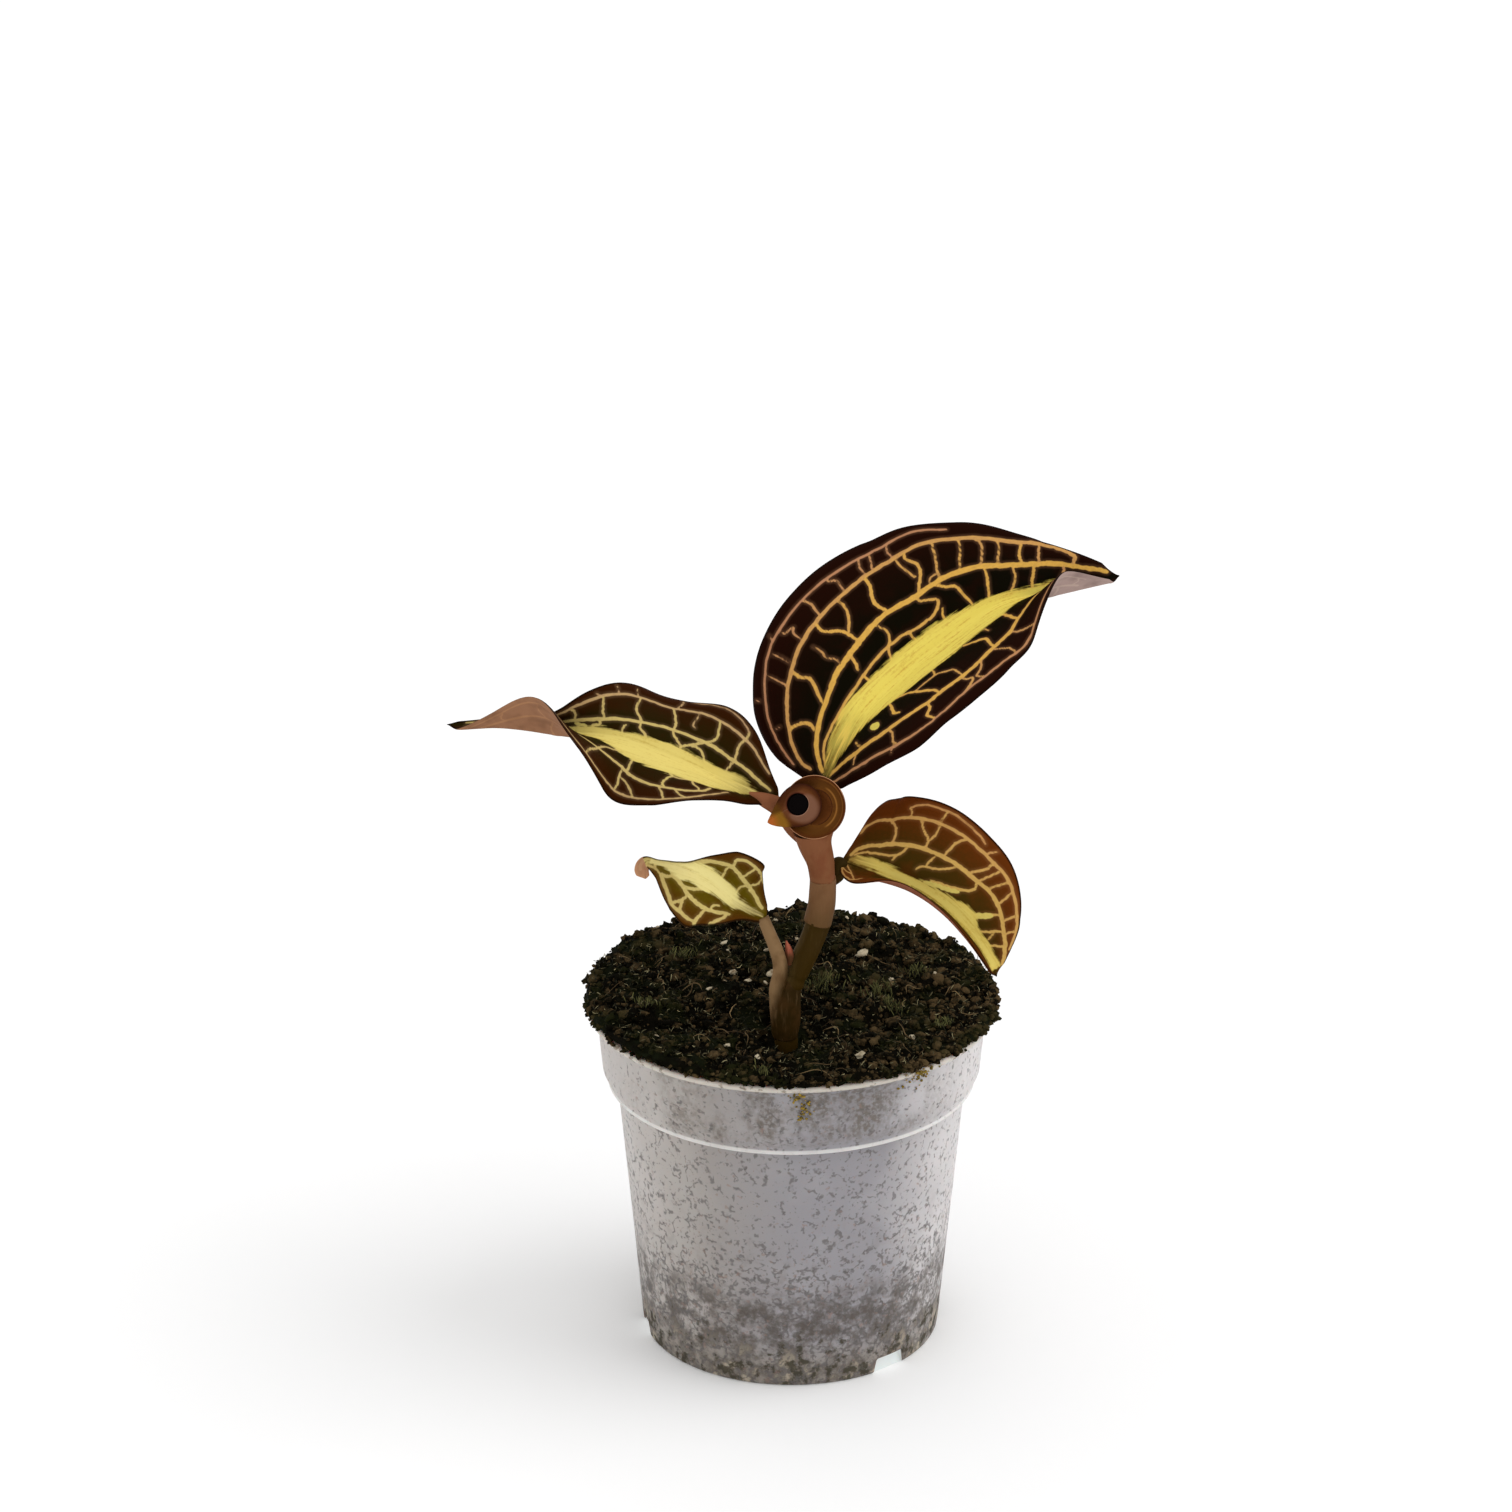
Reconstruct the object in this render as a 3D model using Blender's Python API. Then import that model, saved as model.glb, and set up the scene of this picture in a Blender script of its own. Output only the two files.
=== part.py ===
"""A potted jewel orchid: a small nursery pot filled with crumbly soil, and one leafy stem standing in it.

Every position is in millimetres, in the part's frame: +Z up, the pot's axis on Z and its foot at z = 0.
The plant is seen best from -Y. Lengths become metres where a mesh is made.
"""

import math
import random

import bmesh
import bpy
from mathutils import Vector

MM = 0.001
WELD = 0.000002
CLEARANCE = 0.3
SHARP_ANGLE = 40.0

# The pot
POT_HEIGHT = 52.1
POT_WALL = 0.8
FOOT_RADIUS = 22.0
BODY_TOP_RADIUS = 25.7
LEDGE_HEIGHT = 40.2
COLLAR = ((27.0, 40.6), (27.8, 42.4), (28.1, 45.5), (28.5, 50.0))
LIP_RADIUS = 30.0
LIP_ROUNDING = 0.3
LIP_FLANGE = 1.4
LIP_SLOPE = 0.5
LIP_RISE = 0.7
BASE_HEIGHT = 2.0
BASE_THICKNESS = 1.0
FOOT_RING = 0.9
FOOT_PAD_RADIUS = 5.0
FOOT_PAD_SLOPE = 0.6
FOOT_INSET = 0.2
EDGE_STEP = 0.3
BASE_ROUNDING = 0.5
POT_SIDES = 48
NOTCH_COUNT = 3
NOTCH_ANGLE = 41.0
NOTCH_SPAN = 17.0
NOTCH_HEIGHT = 1.8
NOTCH_DEPTH = 6.0
NOTCH_TAPER = 0.8
DRAIN_COUNT = 6
DRAIN_ANGLE = 11.0
DRAIN_RADIUS = 1.9
DRAIN_CIRCLE = 13.0
DRAIN_SIDES = 12
DRAIN_CUT = 8.0

# The soil
SOIL_SIDES = 60
SOIL_RINGS = 15
SOIL_SEED = 11
CRUMB_COUNT = 190
CRUMB_SIZES = (1.6, 3.4)
CRUMB_HEIGHTS = (0.4, 1.5)
SOIL_EDGE_RADIUS = 30.1
SOIL_LEVEL = 52.7
SOIL_HEAP = 3.6
SOIL_REAR_RISE = 0.5
SOIL_LEFT_RISE = 1.2
SOIL_HOLLOW = ((-1.0, -17.0), 1.6, 7.7)
SOIL_RAGGED = (-0.7, 0.5)
SOIL_CHAMFER = 0.8

# The stem, from its buried end to its tip: place and radius
STEM_SIDES = 14
STEM_STATIONS = 26
STEM_HOLE_TOP = 62.0
STEM_PATH = (
    ((-1.0, -14.6, 44.0), 1.3),
    ((-0.9, -15.0, 51.0), 1.6),
    ((-1.0, -15.0, 55.0), 1.4),
    ((-0.9, -15.0, 60.0), 1.4),
    ((0.5, -15.0, 63.2), 1.8),
    ((2.4, -15.0, 67.4), 1.75),
    ((3.6, -15.0, 71.2), 1.1),
    ((4.3, -15.0, 76.0), 1.0),
    ((4.0, -15.0, 80.0), 1.1),
    ((3.2, -15.0, 83.2), 1.2),
)

# The leaves
BLADE_THICKNESS = 0.7
BLADE_ALONG = 22
BLADE_HALF = 5
BLADE_CURL = 20.0
ROW_CROWDING = 1.2
KEEL_RADIUS = 1.6
SHEATH_WALL = 0.6
SHEATH_SIDES = 16
PETIOLE_SIDES = 10
PETIOLE_STATIONS = 6
NECK_STATIONS = 5
NARROWEST = 0.2

# The crown
CROWN_CENTRE = Vector((3.1, -15.6, 88.9))
CROWN_AXIS = Vector((-0.22, -0.88, 0.42)).normalized()
CROWN_SIDES = 24
CUP_RINGS = ((-4.5, 0.0), (-4.3, 1.2), (-3.4, 3.0), (-1.6, 4.3), (0.4, 4.7), (1.7, 4.6), (1.7, 4.0),
             (0.4, 3.9), (-0.6, 3.6), (-1.4, 2.4), (-1.6, 0.0))
NECK_PATH = (((3.1, -15.0, 83.7), 2.0), ((3.1, -15.0, 84.2), 2.2), ((3.1, -14.7, 84.8), 2.2),
             ((3.1, -14.3, 85.3), 1.6))
YOUNG_RINGS = ((-1.3, 0.0, 0.0), (-1.1, 1.8, 0.0), (-0.4, 3.0, 0.0), (0.4, 3.3, 0.0), (1.5, 2.6, 0.0),
               (2.2, 2.4, 0.75), (2.8, 2.1, 1.0), (2.6, 1.6, 0.0), (1.4, 1.5, 0.0), (0.0, 1.3, 0.0),
               (-0.2, 0.0, 0.0))
BEAK_TURN = 0.80
BEAK_SPREAD = 0.085
BEAK_LENGTH = 3.4
YOUNG_LEAN = Vector((-0.75, 0, 0.25))
YOUNG_LEAN_START = 0.3

# The stalks, each from inside its sheath's wall into the base of its blade
TOP_STALK = (((4.0, -12.2, 89.4), 0.9), ((4.4, -11.2, 89.8), 1.1), ((5.4, -9.6, 92.2), 0.9))
LEFT_STALK = (((2.2, -13.6, 82.2), 0.35), ((0.0, -12.6, 84.2), 0.8), ((-1.3, -11.9, 86.6), 0.85),
              ((-3.4, -12.1, 88.8), 0.8))
RIGHT_STALK = (((5.5, -13.9, 74.9), 0.35), ((6.3, -12.9, 76.6), 0.8), ((6.5, -12.5, 78.2), 0.8),
               ((7.4, -12.6, 79.2), 0.7))
LOWER_STALK = (((-2.6, -16.1, 59.4), 0.35), ((-2.5, -17.1, 62.2), 0.8), ((-2.1, -17.1, 66.0), 0.85),
               ((-4.4, -15.6, 72.2), 0.8))
BUD_PATH = (((-0.55, -15.9, 66.0), 0.35), ((-0.5, -16.0, 67.0), 0.7), ((-0.55, -16.1, 68.0), 0.55),
            ((-0.6, -16.2, 69.0), 0.15))

# The sheaths: lower and upper height, lower and upper outer radius
LEFT_SHEATH = (78.1, 83.3, 1.8, 2.6)
RIGHT_SHEATH = (71.6, 77.8, 2.0, 1.9)
LOWER_SHEATH = (53.6, 60.6, 2.2, 2.3)


class Leaf:
    """One leaf: its rib's points, and the width and upward fold of each half in even steps to the tip.

    far is the half away from the viewer, near the other. facing is where the upper face looks: degrees to
    right of the viewer, and degrees up. crowding above 1 sets the steps closer together at the base.
    """

    def __init__(self, rib, far, near, facing, turn, crowding):
        self.rib = rib
        self.far = far
        self.near = near
        azimuth, elevation = (math.radians(angle) for angle in facing)
        self.facing = Vector((
            math.sin(azimuth) * math.cos(elevation),
            -math.cos(azimuth) * math.cos(elevation),
            math.sin(elevation),
        ))
        self.turn = turn
        self.crowding = crowding


LEAF_TOP = Leaf(
    rib=((4.3, -10.6, 89.8), (9, -6.5, 98.5), (15, -2, 103.5), (22, 2, 108), (29.5, 5.5, 112), (38, 8, 113),
         (47, 10, 114.5)),
    far=((3.6, -25), (6.9, -25), (10.3, -25), (13, -24), (15.2, -22), (16.8, -19), (18.4, -15), (19.5, -12),
         (20.3, -10), (20.8, -10), (20.8, -10), (20.2, -10), (19.3, -10), (18.0, -8), (14.0, -5), (10.2, -2),
         (7.8, 0), (4.6, 8), (0.9, 20)),
    near=((1.6, 40), (3.8, 40), (9.2, 45), (15, 45), (16, 45), (16.5, 45), (15.6, 45), (13.2, 50),
          (8.6, 92), (0.9, 90)),
    facing=(0, 38), turn=-1, crowding=1.6,
)
LEAF_LEFT = Leaf(
    rib=((-2, -12, 88), (-9.5, -12.5, 92), (-17, -12, 95.5), (-24.5, -11, 98), (-32.5, -10, 98.5),
         (-41, -8.5, 99), (-49, -7.5, 98.5)),
    far=((1, 0), (4, 5), (8.5, 0), (11, -15), (10.7, -28), (10.2, -28), (6.2, 20), (3.2, 80), (1.2, 90),
         (0.6, 90)),
    near=((1, 45), (1.8, 50), (6.2, 60), (10.6, 55), (12.5, 40), (11.5, 28), (12, 68), (10.4, 100),
          (6.3, 108), (0.6, 90)),
    facing=(0, 38), turn=1, crowding=1.3,
)
LEAF_LOWER = Leaf(
    rib=((-3.8, -15.5, 72.0), (-8, -15.5, 74.5), (-11.5, -16, 78), (-15.5, -16.5, 80.2),
         (-18.9, -15.7, 80.7), (-20.8, -14.8, 80.1), (-20.9, -15, 77.9)),
    far=((1, 10), (2.9, 22), (5.1, 34), (6.6, 37), (7.2, 39), (6.4, 47), (4.0, 57), (1.5, 55), (0.8, 50),
         (0.6, 25), (0.6, 0), (0.8, 0), (1.3, 0), (1.5, 0), (1.0, 0)),
    near=((0.8, 30), (2.6, 35), (6.5, 25), (8, 0), (5.6, -5), (2.0, 0), (0.7, 0), (0.6, 0)),
    facing=(-10, 45), turn=1, crowding=1.1,
)
LEAF_RIGHT = Leaf(
    rib=((6.9, -12.4, 79.3), (11.5, -13.5, 78.0), (17, -14.5, 76.3), (21.8, -15.5, 73.2), (26, -15.5, 68.3),
         (29.2, -15.5, 62.9)),
    far=((1.0, 5), (2.8, 5), (7.8, 5), (10.4, 9), (11.5, 14), (12.1, 19), (12.5, 25), (12.9, 33), (13.1, 42),
         (12.8, 46), (12.2, 50), (10.5, 55), (8, 60), (4.2, 54), (0.6, 45)),
    near=((1, 30), (3.1, 30), (4.6, 50), (3.4, 80), (2.4, 88), (2.0, 82), (1.4, 70), (0.6, 60)),
    facing=(15, 45), turn=-1, crowding=1.4,
)


def clear_scene():
    for item in list(bpy.data.objects):
        bpy.data.objects.remove(item)


def material(name, colour, roughness, metallic=0.0):
    made = bpy.data.materials.new(name)
    made.use_nodes = True
    shader = made.node_tree.nodes["Principled BSDF"]
    shader.inputs["Base Color"].default_value = (*colour, 1.0)
    shader.inputs["Roughness"].default_value = roughness
    shader.inputs["Metallic"].default_value = metallic
    return made


def finished(name, bm, finish=None):
    """Turns a bmesh in millimetres into a named object in metres."""
    bmesh.ops.scale(bm, vec=(MM, MM, MM), verts=bm.verts)
    bmesh.ops.recalc_face_normals(bm, faces=bm.faces)
    mesh = bpy.data.meshes.new(name)
    bm.to_mesh(mesh)
    bm.free()
    mesh.shade_smooth()
    mesh.set_sharp_from_angle(angle=math.radians(SHARP_ANGLE))
    item = bpy.data.objects.new(name, mesh)
    if finish:
        mesh.materials.append(finish)
    bpy.context.scene.collection.objects.link(item)
    return item


def combined(item, others, operation):
    """Applies a Boolean of each of the others to item, and removes them."""
    for other in others:
        step = item.modifiers.new(operation.lower(), "BOOLEAN")
        step.operation = operation
        step.solver = "EXACT"
        step.object = other
    bpy.context.view_layer.update()
    evaluated = item.evaluated_get(bpy.context.evaluated_depsgraph_get())
    mesh = bpy.data.meshes.new_from_object(evaluated)
    item.modifiers.clear()
    item.data = mesh
    for other in others:
        bpy.data.objects.remove(other)
    return item


def spline(points, place):
    """The point at place, 0 to 1, on the smooth curve through evenly spaced points or numbers."""
    last = len(points) - 1
    at = min(max(place, 0.0), 1.0) * last
    step = min(int(at), last - 1)
    part = at - step
    before = points[step - 1] if step else points[0] * 2 - points[1]
    here, there = points[step], points[step + 1]
    after = points[step + 2] if step + 2 <= last else points[last] * 2 - points[last - 1]
    return (
        here * 2
        + (there - before) * part
        + (before * 2 - here * 5 + there * 4 - after) * part ** 2
        + (here * 3 - before - there * 3 + after) * part ** 3
    ) * 0.5


def tangent(points, place):
    step = 0.001
    return (spline(points, min(place + step, 1)) - spline(points, max(place - step, 0))).normalized()


def skin(bm, rows, columns, place):
    """A grid of rows by columns faces with its vertices at place(row, column), welded where they meet."""
    made = bmesh.ops.create_grid(bm, x_segments=rows, y_segments=columns, size=0.5)
    for vert in made["verts"]:
        vert.co = place(round((vert.co.x + 0.5) * rows), round((vert.co.y + 0.5) * columns))
    bmesh.ops.remove_doubles(bm, verts=made["verts"], dist=WELD / MM)


def ring_point(centre, along, radius, turn):
    """A point on a circle about the direction along; turn is 0 to 1 of the way round, from the -Y side."""
    right = Vector((0, -1, 0)) - along * -along.y
    right.normalize()
    up = along.cross(right)
    return centre + (right * math.cos(math.tau * turn) + up * math.sin(math.tau * turn)) * radius


def tube(path, sides):
    """A solid tube with closed ends through stations (centre, direction, radius)."""
    bm = bmesh.new()
    ends = [(path[0][0], path[0][1], 0.0)] + path + [(path[-1][0], path[-1][1], 0.0)]

    def place(row, column):
        centre, along, radius = ends[row]
        return ring_point(centre, along, radius, column / sides)

    skin(bm, len(ends) - 1, sides, place)
    return bm


def smooth_stations(path, count):
    """Evenly spaced stations along the smooth curve through (place, radius) pairs."""
    points = [Vector(place) for place, _ in path]
    radii = [radius for _, radius in path]
    steps = [step / count for step in range(count + 1)]
    return [(spline(points, step), tangent(points, step), spline(radii, step)) for step in steps]


def turned(bm, profile, sides, close):
    """Spins a profile of (radius, height) points about Z."""
    verts = [bm.verts.new((radius, 0, height)) for radius, height in profile]
    edges = [bm.edges.new(pair) for pair in zip(verts, verts[1:])]
    if close:
        edges.append(bm.edges.new((verts[-1], verts[0])))
    bmesh.ops.spin(bm, geom=verts + edges, cent=(0, 0, 0), axis=(0, 0, 1), angle=math.tau, steps=sides,
                   use_merge=True)
    bmesh.ops.remove_doubles(bm, verts=bm.verts, dist=WELD / MM)


def wall_radius(height):
    """The pot's outer radius at a height on its body."""
    return FOOT_RADIUS + (BODY_TOP_RADIUS - FOOT_RADIUS) * height / LEDGE_HEIGHT


def make_pot():
    floor = BASE_HEIGHT + BASE_THICKNESS
    inner = [(radius - POT_WALL, height + LIP_ROUNDING) for radius, height in COLLAR[:-1]]
    profile = (
        (0, 0),
        (FOOT_PAD_RADIUS, 0),
        (FOOT_PAD_RADIUS + FOOT_PAD_SLOPE, BASE_HEIGHT),
        (wall_radius(BASE_HEIGHT) - FOOT_RING - EDGE_STEP, BASE_HEIGHT),
        (FOOT_RADIUS - FOOT_INSET - FOOT_RING, 0),
        (FOOT_RADIUS - FOOT_INSET, 0),
        (wall_radius(BASE_ROUNDING), BASE_ROUNDING),
        (wall_radius(LEDGE_HEIGHT - EDGE_STEP), LEDGE_HEIGHT - EDGE_STEP),
        (COLLAR[0][0] - EDGE_STEP, LEDGE_HEIGHT),
        *COLLAR,
        (LIP_RADIUS - LIP_SLOPE, COLLAR[-1][1] + LIP_RISE),
        (LIP_RADIUS, POT_HEIGHT - 3 * LIP_ROUNDING),
        (LIP_RADIUS, POT_HEIGHT - LIP_ROUNDING),
        (LIP_RADIUS - LIP_ROUNDING, POT_HEIGHT),
        (LIP_RADIUS - LIP_FLANGE / 2, POT_HEIGHT),
        (LIP_RADIUS - LIP_FLANGE / 2 - LIP_ROUNDING, POT_HEIGHT - 2 * LIP_ROUNDING),
        (COLLAR[-1][0] - POT_WALL, COLLAR[-1][1]),
        *inner[::-1],
        (wall_radius(LEDGE_HEIGHT) - POT_WALL, LEDGE_HEIGHT),
        (wall_radius(floor) - POT_WALL, floor + BASE_ROUNDING),
        (wall_radius(floor) - POT_WALL - BASE_ROUNDING, floor),
        (0, floor),
    )
    bm = bmesh.new()
    turned(bm, profile, POT_SIDES, close=False)
    pot = finished("pot", bm, material("pot_plastic", (0.62, 0.61, 0.64), 0.45))
    cutters = [notch(NOTCH_ANGLE + 360 / NOTCH_COUNT * turn) for turn in range(NOTCH_COUNT)]
    cutters += [drain(DRAIN_ANGLE + 360 / DRAIN_COUNT * turn) for turn in range(DRAIN_COUNT)]
    return combined(pot, cutters, "DIFFERENCE")


def notch(angle):
    """A cutter for one drainage notch in the foot, at an angle to the right of -Y."""
    bm = bmesh.new()
    width = 2 * FOOT_RADIUS * math.sin(math.radians(NOTCH_SPAN / 2))
    bmesh.ops.create_cube(bm, size=1)
    bmesh.ops.scale(bm, vec=(width, NOTCH_DEPTH, NOTCH_HEIGHT * 2), verts=bm.verts)
    for vert in bm.verts:
        if vert.co.z > 0:
            vert.co.x *= NOTCH_TAPER
    bmesh.ops.translate(bm, vec=(0, -FOOT_RADIUS, 0), verts=bm.verts)
    turn = math.radians(angle)
    for vert in bm.verts:
        x, y = vert.co.x, vert.co.y
        vert.co.x = x * math.cos(turn) - y * math.sin(turn)
        vert.co.y = x * math.sin(turn) + y * math.cos(turn)
    return finished("notch_cutter", bm)


def drain(angle):
    """A cutter for one round drain hole in the base."""
    bm = bmesh.new()
    bmesh.ops.create_cone(bm, cap_ends=True, segments=DRAIN_SIDES,
                          radius1=DRAIN_RADIUS, radius2=DRAIN_RADIUS,
                          depth=DRAIN_CUT)
    turn = math.radians(angle)
    middle = (DRAIN_CIRCLE * math.sin(turn), -DRAIN_CIRCLE * math.cos(turn), BASE_HEIGHT)
    bmesh.ops.translate(bm, vec=middle, verts=bm.verts)
    return finished("drain_cutter", bm)


def soil_crumbs():
    """Seeded places, sizes and heights of the lumps on the soil."""
    draw = random.Random(SOIL_SEED)
    crumbs = []
    for _ in range(CRUMB_COUNT):
        reach = SOIL_EDGE_RADIUS * math.sqrt(draw.random())
        angle = draw.uniform(0, math.tau)
        size, height = draw.uniform(*CRUMB_SIZES), draw.uniform(*CRUMB_HEIGHTS)
        crumbs.append((reach * math.cos(angle), reach * math.sin(angle), size, height))
    return crumbs


def soil_height(x, y, crumbs):
    """The soil's surface: level with the lip in front, heaped behind, with lumps."""
    reach = math.hypot(x, y) / SOIL_EDGE_RADIUS
    heap = SOIL_LEVEL + SOIL_HEAP * (1 - reach ** 2) * (1 + y / SOIL_EDGE_RADIUS) / 2
    heap += (SOIL_REAR_RISE * max(y, 0) + SOIL_LEFT_RISE * max(-x, 0)) / SOIL_EDGE_RADIUS
    (hollow_x, hollow_y), depth, spread = SOIL_HOLLOW
    heap -= depth * math.exp(-((x - hollow_x) ** 2 + (y - hollow_y) ** 2) / spread ** 2)
    lump = 0.0
    for crumb_x, crumb_y, size, height in crumbs:
        away = ((x - crumb_x) ** 2 + (y - crumb_y) ** 2) / size ** 2
        if away < 1:
            lump = max(lump, height * (1 - away))
    return heap + lump


def make_soil():
    """The soil fills the pot and stands a little over its lip."""
    crumbs = soil_crumbs()
    draw = random.Random(SOIL_SEED + 1)
    ragged = [draw.uniform(*SOIL_RAGGED) for _ in range(SOIL_SIDES)]
    floor = BASE_HEIGHT + BASE_THICKNESS + CLEARANCE
    gap = POT_WALL + CLEARANCE
    over_lip = POT_HEIGHT + CLEARANCE
    side = (
        (0, floor),
        (wall_radius(floor) - gap - SOIL_CHAMFER, floor),
        (wall_radius(floor) - gap, floor + SOIL_CHAMFER),
        (wall_radius(LEDGE_HEIGHT - BASE_ROUNDING) - gap, LEDGE_HEIGHT - BASE_ROUNDING),
        (COLLAR[2][0] - gap - 0.4, COLLAR[2][1] + 1.0),
        (COLLAR[-1][0] - gap, COLLAR[-1][1] + 0.2),
        (LIP_RADIUS - 1.0 - CLEARANCE, over_lip - 0.2),
        (SOIL_EDGE_RADIUS - 0.9, over_lip),
    )
    rows = len(side) + SOIL_RINGS

    def place(row, column):
        angle = math.tau * column / SOIL_SIDES
        direction = Vector((math.cos(angle), math.sin(angle), 0))
        if row < len(side):
            radius, height = side[row]
            return direction * radius + Vector((0, 0, height))
        inward = (row - len(side)) / (rows - len(side))
        radius = (SOIL_EDGE_RADIUS + ragged[column % SOIL_SIDES]) * (1 - inward)
        spot = direction * radius
        height = soil_height(spot.x, spot.y, crumbs)
        if row == len(side):
            height = over_lip + 0.5 + 0.3 * ragged[column % SOIL_SIDES]
        return Vector((spot.x, spot.y, height))

    bm = bmesh.new()
    skin(bm, rows, SOIL_SIDES, place)
    soil = finished("soil", bm, material("soil_crumb", (0.05, 0.04, 0.03), 0.95))
    buried = [station for station in stem_stations() if station[0].z < STEM_HOLE_TOP]
    hole = [(centre, along, radius + CLEARANCE) for centre, along, radius in buried]
    foot = hole[0][0] - hole[0][1] * CLEARANCE
    hole.insert(0, (foot, hole[0][1], hole[0][2]))
    return combined(soil, [finished("stem_hole", tube(hole, STEM_SIDES))], "DIFFERENCE")


def stem_stations():
    return smooth_stations(STEM_PATH, STEM_STATIONS)


def make_stem():
    bark = material("stem_skin", (0.18, 0.12, 0.05), 0.45)
    return finished("stem", tube(stem_stations(), STEM_SIDES), bark)


def blade(leaf, name):
    """A leaf blade: a grid bent over its rib, folded up on both sides and given its thickness."""
    rib = [Vector(point) for point in leaf.rib]
    bm = bmesh.new()

    def place(row, column):
        at = (row / BLADE_ALONG) ** ROW_CROWDING
        step = at ** (1 / leaf.crowding)
        centre, along = spline(rib, at), tangent(rib, at)
        up = (leaf.facing - along * leaf.facing.dot(along)).normalized()
        outward = along.cross(up) * leaf.turn
        count = column - BLADE_HALF
        half = leaf.far if count > 0 else leaf.near
        if count < 0:
            outward = -outward
        width = max(spline([w for w, _ in half], step), NARROWEST)
        fold = math.radians(spline([f for _, f in half], step))
        point = centre.copy()
        for part in range(abs(count)):
            middle = (part + 0.5) / BLADE_HALF
            lean = fold * min(1, middle * width / KEEL_RADIUS) + math.radians(BLADE_CURL) * (0.5 - middle)
            point += (outward * math.cos(lean) + up * math.sin(lean)) * width / BLADE_HALF
        return point

    skin(bm, BLADE_ALONG, 2 * BLADE_HALF, place)
    bmesh.ops.triangulate(bm, faces=bm.faces)
    made = finished(name, bm)
    thick = made.modifiers.new("thickness", "SOLIDIFY")
    thick.thickness = BLADE_THICKNESS * MM
    thick.offset = 0
    return made


def sheath(low, high, start, end):
    """A sleeve round the stem from height low to high, with outer radii start and end."""
    stations = [s for s in smooth_stations(STEM_PATH, 4 * STEM_STATIONS) if low <= s[0].z <= high][::4]
    last = len(stations) - 1
    outside = [(c, a, start + (end - start) * n / last) for n, (c, a, _) in enumerate(stations)]
    inside = [(c, a, radius - SHEATH_WALL) for c, a, radius in outside][::-1]
    rings = outside + inside
    bm = bmesh.new()

    def place(row, column):
        centre, along, radius = rings[row % len(rings)]
        return ring_point(centre, along, radius, column / SHEATH_SIDES)

    skin(bm, len(rings), SHEATH_SIDES, place)
    return finished("sheath", bm)


def petiole(path):
    return finished("petiole", tube(smooth_stations(path, PETIOLE_STATIONS), PETIOLE_SIDES))


def make_leaf(name, leaf, stalk, sleeve):
    """A whole leaf: blade, stalk and the sleeve by which it holds the stem."""
    made = blade(leaf, name)
    made.data.materials.append(material(name + "_skin", (0.06, 0.03, 0.02), 0.4))
    return combined(made, [petiole(stalk), *sleeve], "UNION")


def crown_cup():
    """The sleeve of the topmost leaf: a cup round the young leaf, on a neck that stands on the stem."""
    bm = bmesh.new()

    def place(row, column):
        along, radius = CUP_RINGS[row]
        return ring_point(CROWN_CENTRE + CROWN_AXIS * along, CROWN_AXIS, radius, column / CROWN_SIDES)

    skin(bm, len(CUP_RINGS) - 1, CROWN_SIDES, place)
    neck = tube(smooth_stations(NECK_PATH, NECK_STATIONS), SHEATH_SIDES)
    return finished("cup", bm), finished("neck", neck)


def make_young_leaf():
    """The rolled young leaf in the cup: a trumpet round a throat, drawn out into a beak."""
    bm = bmesh.new()

    def place(row, column):
        along, radius, beak = YOUNG_RINGS[row]
        turn = column / CROWN_SIDES
        off = (turn - BEAK_TURN + 0.5) % 1.0 - 0.5
        drawn = beak * BEAK_LENGTH * math.exp(-(off / BEAK_SPREAD) ** 2)
        centre = CROWN_CENTRE + CROWN_AXIS * along + YOUNG_LEAN * max(along - YOUNG_LEAN_START, 0)
        return ring_point(centre, CROWN_AXIS, radius + drawn, turn)

    skin(bm, len(YOUNG_RINGS) - 1, CROWN_SIDES, place)
    return finished("young_leaf", bm, material("young_leaf_skin", (0.30, 0.14, 0.06), 0.4))


def make_side_bud():
    """A small pointed bud between the lower leaf's stalk and the stem."""
    return finished("side_bud", tube(smooth_stations(BUD_PATH, PETIOLE_STATIONS), PETIOLE_SIDES),
                    material("bud_skin", (0.55, 0.20, 0.14), 0.5))


def main():
    clear_scene()
    make_pot()
    make_soil()
    make_stem()
    make_leaf("leaf_top", LEAF_TOP, TOP_STALK, crown_cup())
    make_leaf("leaf_left", LEAF_LEFT, LEFT_STALK, [sheath(*LEFT_SHEATH)])
    make_leaf("leaf_right", LEAF_RIGHT, RIGHT_STALK, [sheath(*RIGHT_SHEATH)])
    make_leaf("leaf_lower", LEAF_LOWER, LOWER_STALK, [sheath(*LOWER_SHEATH)])
    make_young_leaf()
    make_side_bud()


main()
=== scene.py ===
"""The looks of a potted jewel orchid: waved leaves with a gold vein net, a fleshy stem, crumbly soil and a
thin plastic pot. It is laid out as a Blender add-on and is run as a script. Lengths are in millimetres in
the tables and properties, in the part's frame, and become metres where a mesh or a material is made. The
plant is seen best from -Y.
"""

import math
import random
from collections import namedtuple

import bmesh
import bpy
import numpy as np
from mathutils import Matrix, Vector, noise


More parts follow.
